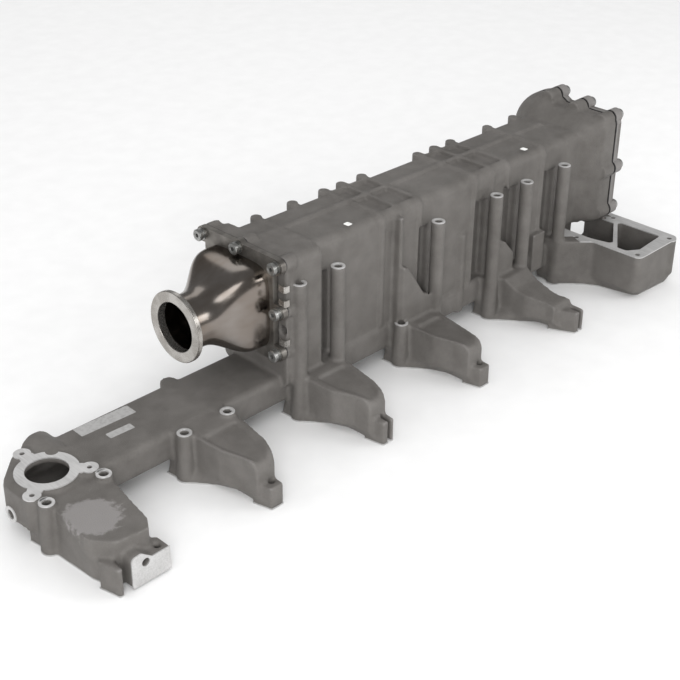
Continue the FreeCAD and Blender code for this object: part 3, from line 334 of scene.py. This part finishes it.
    def finish(self, colour: object, roughness: object,
               metallic: float = 0.0) -> bpy.types.Material:
        """Sets the shader's main sockets.

        Args:
            colour: Base colour, a value or a socket.
            roughness: Roughness, a number or a Signal.
            metallic: Share of metal.

        Returns:
            The material.
        """
        self.link(colour, self.shader.inputs["Base Color"])
        self.link(roughness, self.shader.inputs["Roughness"])
        self.shader.inputs["Metallic"].default_value = metallic
        return self.material


@dataclass(frozen=True)
class CastAluminium:
    """Sand cast and shot blasted aluminium: warm grey, with a fine grain and faint stains.

    The scales of grain, mottle, cloud and smudge are features per metre. rubbed is the
    middle of the bare patch on the front block, in metres.
    """

    name: str = "cast_aluminium"
    light: Colour = (0.185, 0.174, 0.163)
    dark: Colour = (0.112, 0.104, 0.095)
    # worn is the colour of the rubbed patch and also of the painted highlight on convex edges.
    worn: Colour = (0.32, 0.305, 0.30)
    rubbed: Point = (0.021, -0.040, 0.052)
    rubbed_reach: Point = (0.036, 0.040, 0.030)
    grain: float = 1000.0
    mottle: float = 55.0
    cloud: float = 9.0
    smudge: float = 130.0
    tones: Span = (0.32, 0.66)
    # The edges span and the strength below lighten convex edges towards worn: partly edge wear,
    # partly a painted highlight along the rounded edges.
    edges: Span = (0.535, 0.60)
    edge_highlight_and_wear: float = 0.5
    patch: Span = (0.62, 0.80)
    patch_wear: float = 0.8
    relief: float = 0.0011
    relief_strength: float = 0.8
    roughness: float = 0.52
    metallic: float = 0.25

    def material(self) -> bpy.types.Material:
        """Builds the material."""
        graph = Graph(self.name)
        grain = graph.noise(self.grain, 3.0, 0.65)
        mottle = graph.noise(self.mottle, 4.0, 0.6)
        cloud = graph.noise(self.cloud, 2.0)
        tone = (mottle * 0.45 + cloud * 0.35 + grain * 0.45) - 0.12
        base = graph.ramp(tone, (self.tones[0], self.dark), (self.tones[1], self.light))
        # Painted highlight: convex edges, found by pointiness, are mixed towards worn; partly edge
        # wear.
        edge = graph.mask(graph.ridges() + grain * 0.02, *self.edges) * self.edge_highlight_and_wear
        smudge = graph.noise(self.smudge, 4.0, 0.7)
        closeness = graph.near(self.rubbed, self.rubbed_reach) + smudge * 0.8
        patch = graph.mask(closeness, *self.patch) * self.patch_wear
        colour = graph.mix(patch, graph.mix(edge, base, self.worn), self.worn)
        graph.bump(grain * 0.8 + mottle * 0.4, self.relief, self.relief_strength)
        gloss = self.roughness + grain * 0.16 - patch * 0.12
        return graph.finish(colour, gloss, self.metallic)


@dataclass(frozen=True)
class MachinedAluminium:
    """Freshly milled aluminium with fine tool marks."""

    name: str = "machined_aluminium"
    light: Colour = (0.56, 0.555, 0.55)
    dark: Colour = (0.42, 0.415, 0.41)
    marks: float = 700.0
    along: Point = (1.0, 0.08, 1.0)
    cloud: float = 40.0
    tones: Span = (0.35, 0.62)
    relief: float = 0.00006
    relief_strength: float = 0.35
    roughness: float = 0.30
    metallic: float = 0.35

    def material(self) -> bpy.types.Material:
        """Builds the material."""
        graph = Graph(self.name)
        marks = graph.noise(self.marks, 2.0, 0.5, graph.stretched(self.along))
        cloud = graph.noise(self.cloud, 3.0)
        tone = marks * 0.5 + cloud * 0.5
        colour = graph.ramp(tone, (self.tones[0], self.dark), (self.tones[1], self.light))
        graph.bump(marks, self.relief, self.relief_strength)
        return graph.finish(colour, self.roughness + cloud * 0.14, self.metallic)


@dataclass(frozen=True)
class DrawnStainless:
    """Drawn stainless sheet, glossy, with a slight brown heat tint."""

    name: str = "stainless_cone"
    light: Colour = (0.30, 0.275, 0.255)
    tint: Colour = (0.19, 0.155, 0.128)
    cloud: float = 14.0
    streak: float = 160.0
    along: Point = (0.25, 1.0, 1.0)
    tones: Span = (0.36, 0.66)
    relief: float = 0.00008
    relief_strength: float = 0.25
    roughness: float = 0.16

    def material(self) -> bpy.types.Material:
        """Builds the material."""
        graph = Graph(self.name)
        cloud = graph.noise(self.cloud, 3.0)
        streak = graph.noise(self.streak, 2.0, 0.5, graph.stretched(self.along))
        tone = cloud * 0.8 + streak * 0.2
        colour = graph.ramp(tone, (self.tones[0], self.tint), (self.tones[1], self.light))
        graph.bump(streak, self.relief, self.relief_strength)
        return graph.finish(colour, self.roughness + streak * 0.10, 1.0)


@dataclass(frozen=True)
class TurnedSteel:
    """Steel with fine tool marks: the clamp ring, the plate, the core and plated screws."""

    name: str
    light: Colour
    dark: Colour
    roughness: float
    cloud: float = 60.0
    marks: float = 1800.0
    along: Point = (1.0, 0.2, 0.2)
    tones: Span = (0.38, 0.62)
    relief: float = 0.00004
    relief_strength: float = 0.3
    metallic: float = 0.9

    def material(self) -> bpy.types.Material:
        """Builds the material."""
        graph = Graph(self.name)
        cloud = graph.noise(self.cloud, 3.0)
        marks = graph.noise(self.marks, 1.0, 0.5, graph.stretched(self.along))
        colour = graph.ramp(cloud, (self.tones[0], self.dark), (self.tones[1], self.light))
        graph.bump(marks, self.relief, self.relief_strength)
        return graph.finish(colour, self.roughness + marks * 0.10, self.metallic)


@dataclass(frozen=True)
class MouldedRubber:
    """Black rubber or coated gasket sheet with a dusty bloom."""

    name: str = "gasket"
    dark: Colour = (0.012, 0.012, 0.013)
    bloom: Colour = (0.045, 0.043, 0.040)
    dust: float = 220.0
    tones: Span = (0.35, 0.7)
    relief: float = 0.0001
    relief_strength: float = 0.4
    roughness: float = 0.55

    def material(self) -> bpy.types.Material:
        """Builds the material."""
        graph = Graph(self.name)
        dust = graph.noise(self.dust, 3.0, 0.6)
        graph.bump(dust, self.relief, self.relief_strength)
        colour = graph.ramp(dust, (self.tones[0], self.dark), (self.tones[1], self.bloom))
        return graph.finish(colour, self.roughness + dust * 0.2)


@dataclass(frozen=True)
class BarePaper:
    """A bare pale sticker or paint pad: slightly uneven, satin."""

    name: str
    light: Colour
    worn: Colour
    wear: float = 260.0
    tones: Span = (0.30, 0.55)
    relief: float = 0.00005
    relief_strength: float = 0.3
    roughness: float = 0.45

    def material(self) -> bpy.types.Material:
        """Builds the material."""
        graph = Graph(self.name)
        wear = graph.noise(self.wear, 4.0, 0.6)
        graph.bump(wear, self.relief, self.relief_strength)
        colour = graph.ramp(wear, (self.tones[0], self.worn), (self.tones[1], self.light))
        return graph.finish(colour, self.roughness + wear * 0.15)


@dataclass
class Finishes:
    """The finishes of the part, each built once."""

    casting: bpy.types.Material = field(init=False)
    machined: bpy.types.Material = field(init=False)
    cone: bpy.types.Material = field(init=False)
    clamp: bpy.types.Material = field(init=False)
    plate: bpy.types.Material = field(init=False)
    screw: bpy.types.Material = field(init=False)
    core: bpy.types.Material = field(init=False)
    rubber: bpy.types.Material = field(init=False)
    label: bpy.types.Material = field(init=False)
    pad: bpy.types.Material = field(init=False)

    def __post_init__(self) -> None:
        """Builds the materials."""
        self.casting = CastAluminium().material()
        self.machined = MachinedAluminium().material()
        self.cone = DrawnStainless().material()
        self.clamp = TurnedSteel(
            "clamp_flange", light=(0.50, 0.48, 0.455), dark=(0.36, 0.34, 0.315), roughness=0.22,
        ).material()
        self.plate = TurnedSteel(
            "front_plate", light=(0.26, 0.245, 0.225), dark=(0.17, 0.158, 0.145), roughness=0.38,
        ).material()
        self.screw = TurnedSteel(
            "zinc_screw", light=(0.42, 0.42, 0.41), dark=(0.27, 0.27, 0.26), roughness=0.32,
        ).material()
        self.core = TurnedSteel(
            "core_steel", light=(0.30, 0.28, 0.26), dark=(0.16, 0.15, 0.14), roughness=0.35,
        ).material()
        self.rubber = MouldedRubber().material()
        self.label = BarePaper(
            "label_sheet", light=(0.36, 0.355, 0.35), worn=(0.27, 0.265, 0.26),
        ).material()
        self.pad = BarePaper(
            "white_pad", light=(0.84, 0.84, 0.82), worn=(0.70, 0.70, 0.68),
        ).material()


def keep(name: str, mesh: bmesh.types.BMesh, material: bpy.types.Material,
         sharp: float = 35.0) -> bpy.types.Object:
    """Turns a bmesh into a piece that rides on the part.

    Args:
        name: Name of the piece.
        mesh: The bmesh, in metres; it is freed.
        material: Its material.
        sharp: Angle in degrees above which an edge stays sharp.

    Returns:
        The piece.
    """
    data = bpy.data.meshes.new(name)
    mesh.to_mesh(data)
    mesh.free()
    piece = bpy.data.objects.new(name, data)
    bpy.context.scene.collection.objects.link(piece)
    data.materials.append(material)
    data.shade_smooth()
    data.set_sharp_from_angle(angle=math.radians(sharp))
    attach(piece, "root")
    log.info("%s: %d faces", name, len(data.polygons))
    return piece


def turned(profile: Iterable[Span], at: Point, axis: Axis,
           steps: int = 48) -> bmesh.types.BMesh:
    """A body of revolution from a closed profile.

    Args:
        profile: Radius and height of each corner in millimetres, in order round the section.
        at: Where the axis starts, in millimetres.
        axis: Direction of the axis.
        steps: Number of segments round the axis.

    Returns:
        The bmesh, in metres.
    """
    mesh = bmesh.new()
    corners = [mesh.verts.new((radius * MM, 0.0, height * MM)) for radius, height in profile]
    edges = [mesh.edges.new((corners[i - 1], corners[i])) for i in range(len(corners))]
    bmesh.ops.spin(mesh, geom=corners + edges, cent=(0, 0, 0), axis=(0, 0, 1), angle=math.tau,
                   steps=steps, use_merge=True)
    bmesh.ops.remove_doubles(mesh, verts=mesh.verts, dist=TURNED_WELD)
    bmesh.ops.recalc_face_normals(mesh, faces=mesh.faces)
    place = Matrix.Translation(Vector(at) * MM) @ axis.value
    bmesh.ops.transform(mesh, matrix=place, verts=mesh.verts)
    return mesh


def merged(node: bpy.types.Object) -> bmesh.types.BMesh:
    """A copy of a CAD node's mesh with its triangles joined.

    Args:
        node: The node.

    Returns:
        The bmesh, in metres.
    """
    mesh = bmesh.new()
    mesh.from_mesh(node.data)
    bmesh.ops.remove_doubles(mesh, verts=mesh.verts, dist=NODE_WELD)
    return mesh


@dataclass(frozen=True)
class Casting:
    """The housing with the soft edges and fillets of a sand casting."""

    voxel: float = 1.7 * MM
    smoothing: int = 6
    smoothing_factor: float = 0.5
    triangles: int = 190_000
    sharp: float = 180.0

    def build(self, node: bpy.types.Object, finishes: Finishes) -> None:
        """Rounds a copy of the housing and puts it in the housing's place.

        Args:
            node: The housing's CAD node.
            finishes: The finishes.
        """
        piece = keep("casting", merged(node), finishes.casting, self.sharp)
        remesh = piece.modifiers.new("skin", "REMESH")
        remesh.mode = "VOXEL"
        remesh.voxel_size = self.voxel
        smooth = piece.modifiers.new("soften", "SMOOTH")
        smooth.factor = self.smoothing_factor
        smooth.iterations = self.smoothing
        self._apply(piece)
        count = sum(len(face.vertices) - 2 for face in piece.data.polygons)
        thin = piece.modifiers.new("thin", "DECIMATE")
        thin.ratio = min(1.0, self.triangles / count)
        self._apply(piece)
        piece.data.shade_smooth()
        log.info("casting: %d triangles of %d", len(piece.data.polygons), count)
        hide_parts("housing")

    @staticmethod
    def _apply(piece: bpy.types.Object) -> None:
        """Makes the modifiers' result the piece's own mesh.

        Args:
            piece: The piece.
        """
        bpy.context.view_layer.update()
        graph = bpy.context.evaluated_depsgraph_get()
        result = bpy.data.meshes.new_from_object(piece.evaluated_get(graph))
        piece.modifiers.clear()
        old = piece.data
        piece.data = result
        bpy.data.meshes.remove(old)


@dataclass(frozen=True)
class BoltSeats:
    """Milled tops of the bolt bosses and pillars, with the mouths of their bores.

    All sizes are in millimetres.
    """

    low: tuple[float, ...] = (0.0, 62.5, 158.3, 213.2, 471.0)
    tall: tuple[float, ...] = (313.6, 368.9, 527.4, 630.8, 688.2, 763.1)
    low_top: float = 53.5
    tall_top: float = 161.0
    bore: float = 4.5
    boss: float = 7.7
    depth: float = 22.0
    lift: float = 0.12
    mouth: Span = (0.6, 0.5)
    rim: Span = (0.4, 0.3)
    skirt: float = 0.8
    wall: Span = (0.9, 0.7)
    under: float = 1.2

    def profile(self) -> tuple[Span, ...]:
        """Section of one seat: radius and height of each corner, the boss's top at 0."""
        return (
            (self.bore, -self.depth), (self.bore, -self.mouth[1]),
            (self.bore + self.mouth[0], self.lift), (self.boss - self.rim[0], self.lift),
            (self.boss, -self.rim[1]), (self.boss, -self.skirt),
            (self.bore + self.wall[0], -self.under), (self.bore + self.wall[1], -self.depth),
        )

    def build(self, finishes: Finishes) -> None:
        """Makes one seat for every bolt.

        Args:
            finishes: The finishes.
        """
        places = [(x, self.low_top) for x in self.low] + [(x, self.tall_top) for x in self.tall]
        for number, (x, top) in enumerate(places, start=1):
            seat = turned(self.profile(), (x, 0.0, top), Axis.Z)
            keep(f"bolt_seat_{number}", seat, finishes.machined)


@dataclass(frozen=True)
class MilledFace:
    """A face of the housing that is milled after casting: a crisp plate on the casting.

    level is the face's place along its normal, and low and high are the corners of the
    box that holds it, all in millimetres.
    """

    name: str
    normal: Point
    level: float
    low: Point
    high: Point
    lift: float = 0.12
    depth: float = 1.3
    square: float = 0.999
    near: float = 0.05

    def covers(self, face: bmesh.types.BMFace) -> bool:
        """Whether a face of the CAD solid belongs to this milled face.

        Args:
            face: The face.

        Returns:
            Whether it does.
        """
        centre = face.calc_center_median() / MM
        inside = all(low <= value <= high
                     for low, value, high in zip(self.low, centre, self.high))
        along = Vector(self.normal)
        level = abs(centre.dot(along) - self.level) < self.near
        return inside and face.normal.dot(along) > self.square and level

    def build(self, node: bpy.types.Object, material: bpy.types.Material) -> None:
        """Lifts the face off a copy of the housing and gives it a little thickness.

        Args:
            node: The housing's CAD node.
            material: The finish.
        """
        mesh = merged(node)
        mesh.faces.ensure_lookup_table()
        others = [face for face in mesh.faces if not self.covers(face)]
        bmesh.ops.delete(mesh, geom=others, context="FACES")
        along = Vector(self.normal)
        bmesh.ops.translate(mesh, verts=mesh.verts, vec=along * self.lift * MM)
        grown = bmesh.ops.extrude_face_region(mesh, geom=mesh.faces[:])
        under = [item for item in grown["geom"] if isinstance(item, bmesh.types.BMVert)]
        bmesh.ops.translate(mesh, verts=under, vec=along * -self.depth * MM)
        bmesh.ops.recalc_face_normals(mesh, faces=mesh.faces)
        keep(self.name, mesh, material)


MILLED_FACES = (
    MilledFace("milled_port_ring", (0, 0, 1), 53.5, (-20, 5, 40), (80, 95, 60)),
    MilledFace("milled_box_rim", (0, 0, 1), 60.0, (780, -130, 50), (900, 4, 70)),
    MilledFace("milled_arm_end", (0, -1, 0), 98.5, (10, -110, -2), (70, -90, 45)),
    MilledFace("milled_side_boss", (-1, 0, 0), 14.0, (-20, 25, 5), (0, 60, 45)),
    MilledFace("milled_feet", (0, 0, -1), 0.0, (-30, -120, -5), (900, 110, 5)),
)


@dataclass
class InletCone:
    """Drawn cone that grows from the round pipe into a rounded square.

    start and span are shares of its length, and the power of its section's
    superellipse grows from round to round + square.
    """

    rings: int = 44
    spokes: int = 96
    start: float = 0.12
    span: float = 0.78
    neck: float = 29.0 * MM
    sheet: float = 2.0 * MM
    round: float = 2.0
    square: float = 3.4
    sharp: float = 60.0
    low: Vector = field(init=False)
    high: Vector = field(init=False)
    small: Vector = field(init=False)
    big: Vector = field(init=False)

    def __post_init__(self) -> None:
        """Takes the place from the CAD cone and the clamp flange."""
        flange_low, flange_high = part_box("vband_flange")
        self.low, self.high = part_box("inlet_cone")
        self.small = (flange_low + flange_high) / 2
        self.big = (self.low + self.high) / 2

    def growth(self, along: float) -> float:
        """Share of the way from the round end to the square one.

        Args:
            along: Share of the length, from the small end.

        Returns:
            The share, with a soft start and end.
        """
        share = min(max((along - self.start) / self.span, 0.0), 1.0)
        return share ** 3 * (share * (share * 6 - 15) + 10)

    def ring(self, mesh: bmesh.types.BMesh, along: float,
             inset: float) -> list[bmesh.types.BMVert]:
        """One ring of corners.

        Args:
            mesh: The bmesh that it goes into.
            along: Share of the length, from the small end.
            inset: Distance inside the outer surface, in metres.

        Returns:
            The corners, in order.
        """
        grown = self.growth(along)
        centre = self.small.lerp(self.big, grown)
        half_y = self.neck + ((self.high.y - self.low.y) / 2 - self.neck) * grown - inset
        half_z = self.neck + ((self.high.z - self.low.z) / 2 - self.neck) * grown - inset
        power = self.round + self.square * grown
        corners = []
        for number in range(self.spokes):
            angle = math.tau * number / self.spokes
            across, up = math.cos(angle), math.sin(angle)
            reach = (abs(across) ** power + abs(up) ** power) ** (-1 / power)
            corners.append(mesh.verts.new((
                self.low.x + (self.high.x - self.low.x) * along,
                centre.y + half_y * across * reach, centre.z + half_z * up * reach)))
        return corners

    def build(self, finishes: Finishes) -> None:
        """Lofts the cone between the clamp flange and the core flange.

        Args:
            finishes: The finishes.
        """
        mesh = bmesh.new()
        shares = [number / (self.rings - 1) for number in range(self.rings)]
        skins = [self.ring(mesh, share, 0.0) for share in shares]
        skins += [self.ring(mesh, share, self.sheet) for share in reversed(shares)]
        for number, skin in enumerate(skins):
            following = skins[(number + 1) % len(skins)]
            for spoke in range(self.spokes):
                after = (spoke + 1) % self.spokes
                mesh.faces.new((skin[spoke], skin[after], following[after], following[spoke]))
        bmesh.ops.recalc_face_normals(mesh, faces=mesh.faces)
        piece = keep("drawn_cone", mesh, finishes.cone, self.sharp)
        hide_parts("inlet_cone")


@dataclass(frozen=True)
class ScrewHead:
    """Crown of a cap screw with its socket, on the head of a CAD screw.

    forward is -1 on the front plate and 1 on the rear cover. Sizes are in millimetres
    apart from share, which is the socket's part of the head's radius.
    """

    name: str
    forward: float
    share: float = 0.52
    socket_depth: float = 2.2
    lip: Span = (0.35, 0.35)
    proud: float = 0.05
    bevel: Span = (0.9, 0.5)
    swell: float = 0.02
    skirt: float = 3.0
    wall: float = 0.8
    steps: int = 36

    def build(self, finishes: Finishes) -> None:
        """Turns the crown in place.

        Args:
            finishes: The finishes.
        """
        low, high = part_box(self.name)
        face = low.x if self.forward < 0 else high.x
        radius = (high.y - low.y) / 2 / MM
        socket = self.share * radius
        outer = radius + self.swell
        heights = (
            (socket, -self.socket_depth), (socket, self.proud),
            (socket + self.lip[0], self.lip[1]), (radius - self.bevel[0], self.lip[1]),
            (outer, -self.bevel[1]), (outer, -self.skirt), (socket + self.wall, -self.skirt),
        )
        profile = [(reach, self.forward * height) for reach, height in heights]
        at = (face / MM, (low.y + high.y) / 2 / MM, (low.z + high.z) / 2 / MM)
        crown = turned(profile, at, Axis.X, self.steps)
        keep(f"{self.name}_crown", crown, finishes.screw)


SCREW_GROUPS = (("front_bolt", -1.0), ("rear_bolt", 1.0))


@dataclass(frozen=True)
class Clip:
    """A small bent sheet clip that hooks over the near edge of the front plate.

    All sizes are in millimetres.
    """

    name: str
    z: float
    width: float = 7.0
    sheet: float = 1.0
    flap: float = 7.0
    lead: float = 0.1
    trail: float = 0.6
    nose: float = 0.6
    bend: float = 1.4
    bulge: float = 2.4
    tail: float = 1.0

    def build(self, finishes: Finishes) -> None:
        """Bends the clip round the plate's edge.

        Args:
            finishes: The finishes.
        """
        low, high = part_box("core_flange")
        edge = low.y / MM
        front, back = low.x / MM - self.lead, high.x / MM + self.trail
        line = (
            (front, edge + self.flap), (front, edge - self.nose),
            (front + self.bend, edge - self.bulge), (back - self.tail, edge - self.bulge),
            (back, edge - self.tail),
        )
        mesh = bmesh.new()
        outer = [mesh.verts.new((x * MM, y * MM, self.z * MM)) for x, y in line]
        strip = [mesh.edges.new(pair) for pair in zip(outer, outer[1:])]
        grown = bmesh.ops.extrude_edge_only(mesh, edges=strip)
        raised = [item for item in grown["geom"] if isinstance(item, bmesh.types.BMVert)]
        bmesh.ops.translate(mesh, verts=raised, vec=(0, 0, self.width * MM))
        bmesh.ops.recalc_face_normals(mesh, faces=mesh.faces)
        bmesh.ops.solidify(mesh, geom=mesh.faces[:], thickness=self.sheet * MM)
        bmesh.ops.recalc_face_normals(mesh, faces=mesh.faces)
        keep(self.name, mesh, finishes.clamp)


CLIPS = (Clip("clip_1", 158.0), Clip("clip_2", 142.0), Clip("clip_3", 96.0))


@dataclass(frozen=True)
class Sticker:
    """A thin bare sheet with rounded corners on a level face.

    at, size, thick and round are in millimetres, and turn is in degrees about Z.
    """

    name: str
    at: Point
    size: Span
    turn: float
    painted: bool = False
    thick: float = 0.25
    round: float = 1.2
    steps: int = 4

    def build(self, finishes: Finishes) -> None:
        """Makes the sheet.

        Args:
            finishes: The finishes.
        """
        mesh = bmesh.new()
        turn = Matrix.Rotation(math.radians(self.turn), 4, "Z")
        half = [value / 2 - self.round for value in self.size]
        outline = []
        for quarter, (side_x, side_y) in enumerate(((1, 1), (-1, 1), (-1, -1), (1, -1))):
            for step in range(self.steps + 1):
                angle = math.radians(90 * quarter + 90 / self.steps * step)
                outline.append((side_x * half[0] + self.round * math.cos(angle),
                                side_y * half[1] + self.round * math.sin(angle), 0.0))
        sheet = mesh.faces.new([mesh.verts.new(Vector(corner) * MM) for corner in outline])
        grown = bmesh.ops.extrude_face_region(mesh, geom=[sheet])
        raised = [item for item in grown["geom"] if isinstance(item, bmesh.types.BMVert)]
        bmesh.ops.translate(mesh, verts=raised, vec=(0, 0, self.thick * MM))
        place = Matrix.Translation(Vector(self.at) * MM) @ turn
        bmesh.ops.transform(mesh, matrix=place, verts=mesh.verts)
        bmesh.ops.recalc_face_normals(mesh, faces=mesh.faces)
        material = finishes.pad if self.painted else finishes.label
        keep(self.name, mesh, material)


STICKERS = (
    Sticker("label_large", (117.7, 73.7, 50.9), (64.0, 16.5), -1.8),
    Sticker("pad_front", (403.4, 20.2, 190.3), (7.0, 7.5), 3.0, painted=True),
    Sticker("pad_rear", (707.4, 22.5, 190.3), (7.0, 7.5), 3.0, painted=True),
    Sticker("label_small", (117.8, 48.6, 50.9), (28.5, 9.5), -2.5),
)


@dataclass(frozen=True)
class Lamp:
    """A soft square lamp. at and size are in metres, power in watts."""

    name: str
    at: Point
    size: float
    power: float

    def build(self, towards: Point) -> None:
        """Hangs the lamp up.

        Args:
            towards: The point that it faces, in metres.
        """
        data = bpy.data.lights.new(self.name, "AREA")
        data.size = self.size
        data.energy = self.power
        lamp = bpy.data.objects.new(self.name, data)
        bpy.context.scene.collection.objects.link(lamp)
        lamp.location = self.at
        lamp.rotation_mode = "QUATERNION"
        aim = Vector(towards) - Vector(self.at)
        lamp.rotation_quaternion = aim.to_track_quat("-Z", "Y")


LAMPS = (
    Lamp("key", (-1.3, -1.6, 1.0), 0.8, 24.0),
    Lamp("back", (1.2, 1.6, 1.8), 1.0, 3.0),
    Lamp("side", (1.7, -1.5, 0.9), 0.8, 9.0),
    Lamp("fill", (-0.6, -0.9, 1.7), 0.9, 6.0),
)


@dataclass(frozen=True)
class Studio:
    """Camera, floor, lamps and world.

    place, the floor's sizes and target are in metres, angles are in degrees, and focal,
    centre and frame are in pixels of the photograph. soft, mirror and backdrop are the
    world's strengths for diffuse, glossy and camera rays.
    """

    place: Point = (-0.4999, -0.8553, 0.7749)
    azimuth: float = 46.29
    elevation: float = 27.83
    roll: float = 0.95
    focal: float = 1318.0
    centre: Span = (355.0, 291.0)
    frame: float = 680.0
    sensor: float = 36.0
    clip: Span = (0.05, 20.0)
    target: Point = (0.42, 0.0, 0.08)
    floor_radius: float = 6.0
    floor_drop: float = 0.0005
    floor_greys: Span = (0.86, 0.89)
    floor_roughness: float = 0.6
    soft: float = 0.95
    mirror: float = 0.30
    backdrop: float = 1.0

    def camera(self) -> None:
        """Puts the camera where the photograph was taken from."""
        az, el, roll = (math.radians(angle) for angle in (self.azimuth, self.elevation, self.roll))
        ahead = Vector((
            math.sin(az) * math.cos(el), math.cos(az) * math.cos(el), -math.sin(el)))
        right = Vector((math.cos(az), -math.sin(az), 0.0))
        above = right.cross(ahead)
        across = math.cos(roll) * right + math.sin(roll) * above
        upright = -math.sin(roll) * right + math.cos(roll) * above
        data = bpy.data.cameras.new("camera")
        data.sensor_width = self.sensor
        data.lens = self.focal / self.frame * data.sensor_width
        data.shift_x = 0.5 - self.centre[0] / self.frame
        data.shift_y = self.centre[1] / self.frame - 0.5
        data.clip_start, data.clip_end = self.clip
        camera = bpy.data.objects.new("camera", data)
        bpy.context.scene.collection.objects.link(camera)
        turn = Matrix((across, upright, -ahead)).transposed().to_4x4()
        camera.matrix_world = Matrix.Translation(self.place) @ turn
        bpy.context.scene.camera = camera

    def floor(self) -> None:
        """Lays a wide pale floor under the feet."""
        graph = Graph("floor")
        speck = graph.noise(30.0, 2.0)
        dark, pale = ((grey, grey, grey) for grey in self.floor_greys)
        graph.finish(graph.ramp(speck, (0.3, dark), (0.7, pale)), self.floor_roughness)
        mesh = bmesh.new()
        bmesh.ops.create_circle(mesh, cap_ends=True, segments=96, radius=self.floor_radius)
        data = bpy.data.meshes.new("floor")
        mesh.to_mesh(data)
        mesh.free()
        floor = bpy.data.objects.new("floor", data)
        data.materials.append(graph.material)
        bpy.context.scene.collection.objects.link(floor)
        floor.location.z = -self.floor_drop

    def world(self) -> None:
        """A world that lights the part softly and shows pale behind it.

        The backgrounds for glossy and camera rays keep the node's own colour, a light grey.
        """
        world = bpy.data.worlds.new("studio")
        world.use_nodes = True
        bpy.context.scene.world = world
        tree = world.node_tree
        soft = tree.nodes["Background"]
        soft.inputs["Color"].default_value = (1.0, 1.0, 1.0, 1.0)
        soft.inputs["Strength"].default_value = self.soft
        dim = tree.nodes.new("ShaderNodeBackground")
        dim.inputs["Strength"].default_value = self.mirror
        pale = tree.nodes.new("ShaderNodeBackground")
        pale.inputs["Strength"].default_value = self.backdrop
        rays = tree.nodes.new("ShaderNodeLightPath")
        mirrored = tree.nodes.new("ShaderNodeMixShader")
        mix = tree.nodes.new("ShaderNodeMixShader")
        tree.links.new(rays.outputs["Is Glossy Ray"], mirrored.inputs[0])
        tree.links.new(soft.outputs[0], mirrored.inputs[1])
        tree.links.new(dim.outputs[0], mirrored.inputs[2])
        tree.links.new(rays.outputs["Is Camera Ray"], mix.inputs[0])
        tree.links.new(mirrored.outputs[0], mix.inputs[1])
        tree.links.new(pale.outputs[0], mix.inputs[2])
        tree.links.new(mix.outputs[0], tree.nodes["World Output"].inputs["Surface"])

    def build(self) -> None:
        """Sets the studio up."""
        self.camera()
        self.floor()
        self.world()
        for lamp in LAMPS:
            lamp.build(self.target)
        bpy.context.scene.view_settings.view_transform = "Standard"


@dataclass
class Cooler:
    """The whole part."""

    frame: dict[str, Any]
    finishes: Finishes = field(default_factory=Finishes)

    def dress(self) -> None:
        """Gives every CAD node its finish."""
        subparts = self.frame["record"]["subparts"]
        slots = {row["node"]: Slot(row["material_slot"]) for row in subparts}
        looks = {
            Slot.CASTING: self.finishes.casting, Slot.PLATE: self.finishes.plate,
            Slot.CONE: self.finishes.cone, Slot.CLAMP: self.finishes.clamp,
            Slot.CORE: self.finishes.core, Slot.SCREW: self.finishes.screw,
            Slot.GASKET: self.finishes.rubber, Slot.SEAL: self.finishes.rubber,
        }
        for name, node in self.frame["nodes"].items():
            node.data.materials.clear()
            node.data.materials.append(looks[slots[name]])

    def build(self) -> None:
        """Builds the pieces in order."""
        self.dress()
        nodes = self.frame["nodes"]
        for face in MILLED_FACES:
            face.build(nodes["housing"], self.finishes.machined)
        Casting().build(nodes["housing"], self.finishes)
        BoltSeats().build(self.finishes)
        InletCone().build(self.finishes)
        for name in nodes:
            for start, forward in SCREW_GROUPS:
                if name.startswith(start):
                    ScrewHead(name, forward).build(self.finishes)
        for piece in (*CLIPS, *STICKERS):
            piece.build(self.finishes)


def main() -> None:
    """Builds the part and its studio."""
    logging.basicConfig(level=logging.INFO, format="%(name)s %(message)s")
    for item in list(bpy.data.objects):
        bpy.data.objects.remove(item)
    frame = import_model()
    Cooler(frame).build()
    Studio().build()


if __name__ == "__main__":
    main()
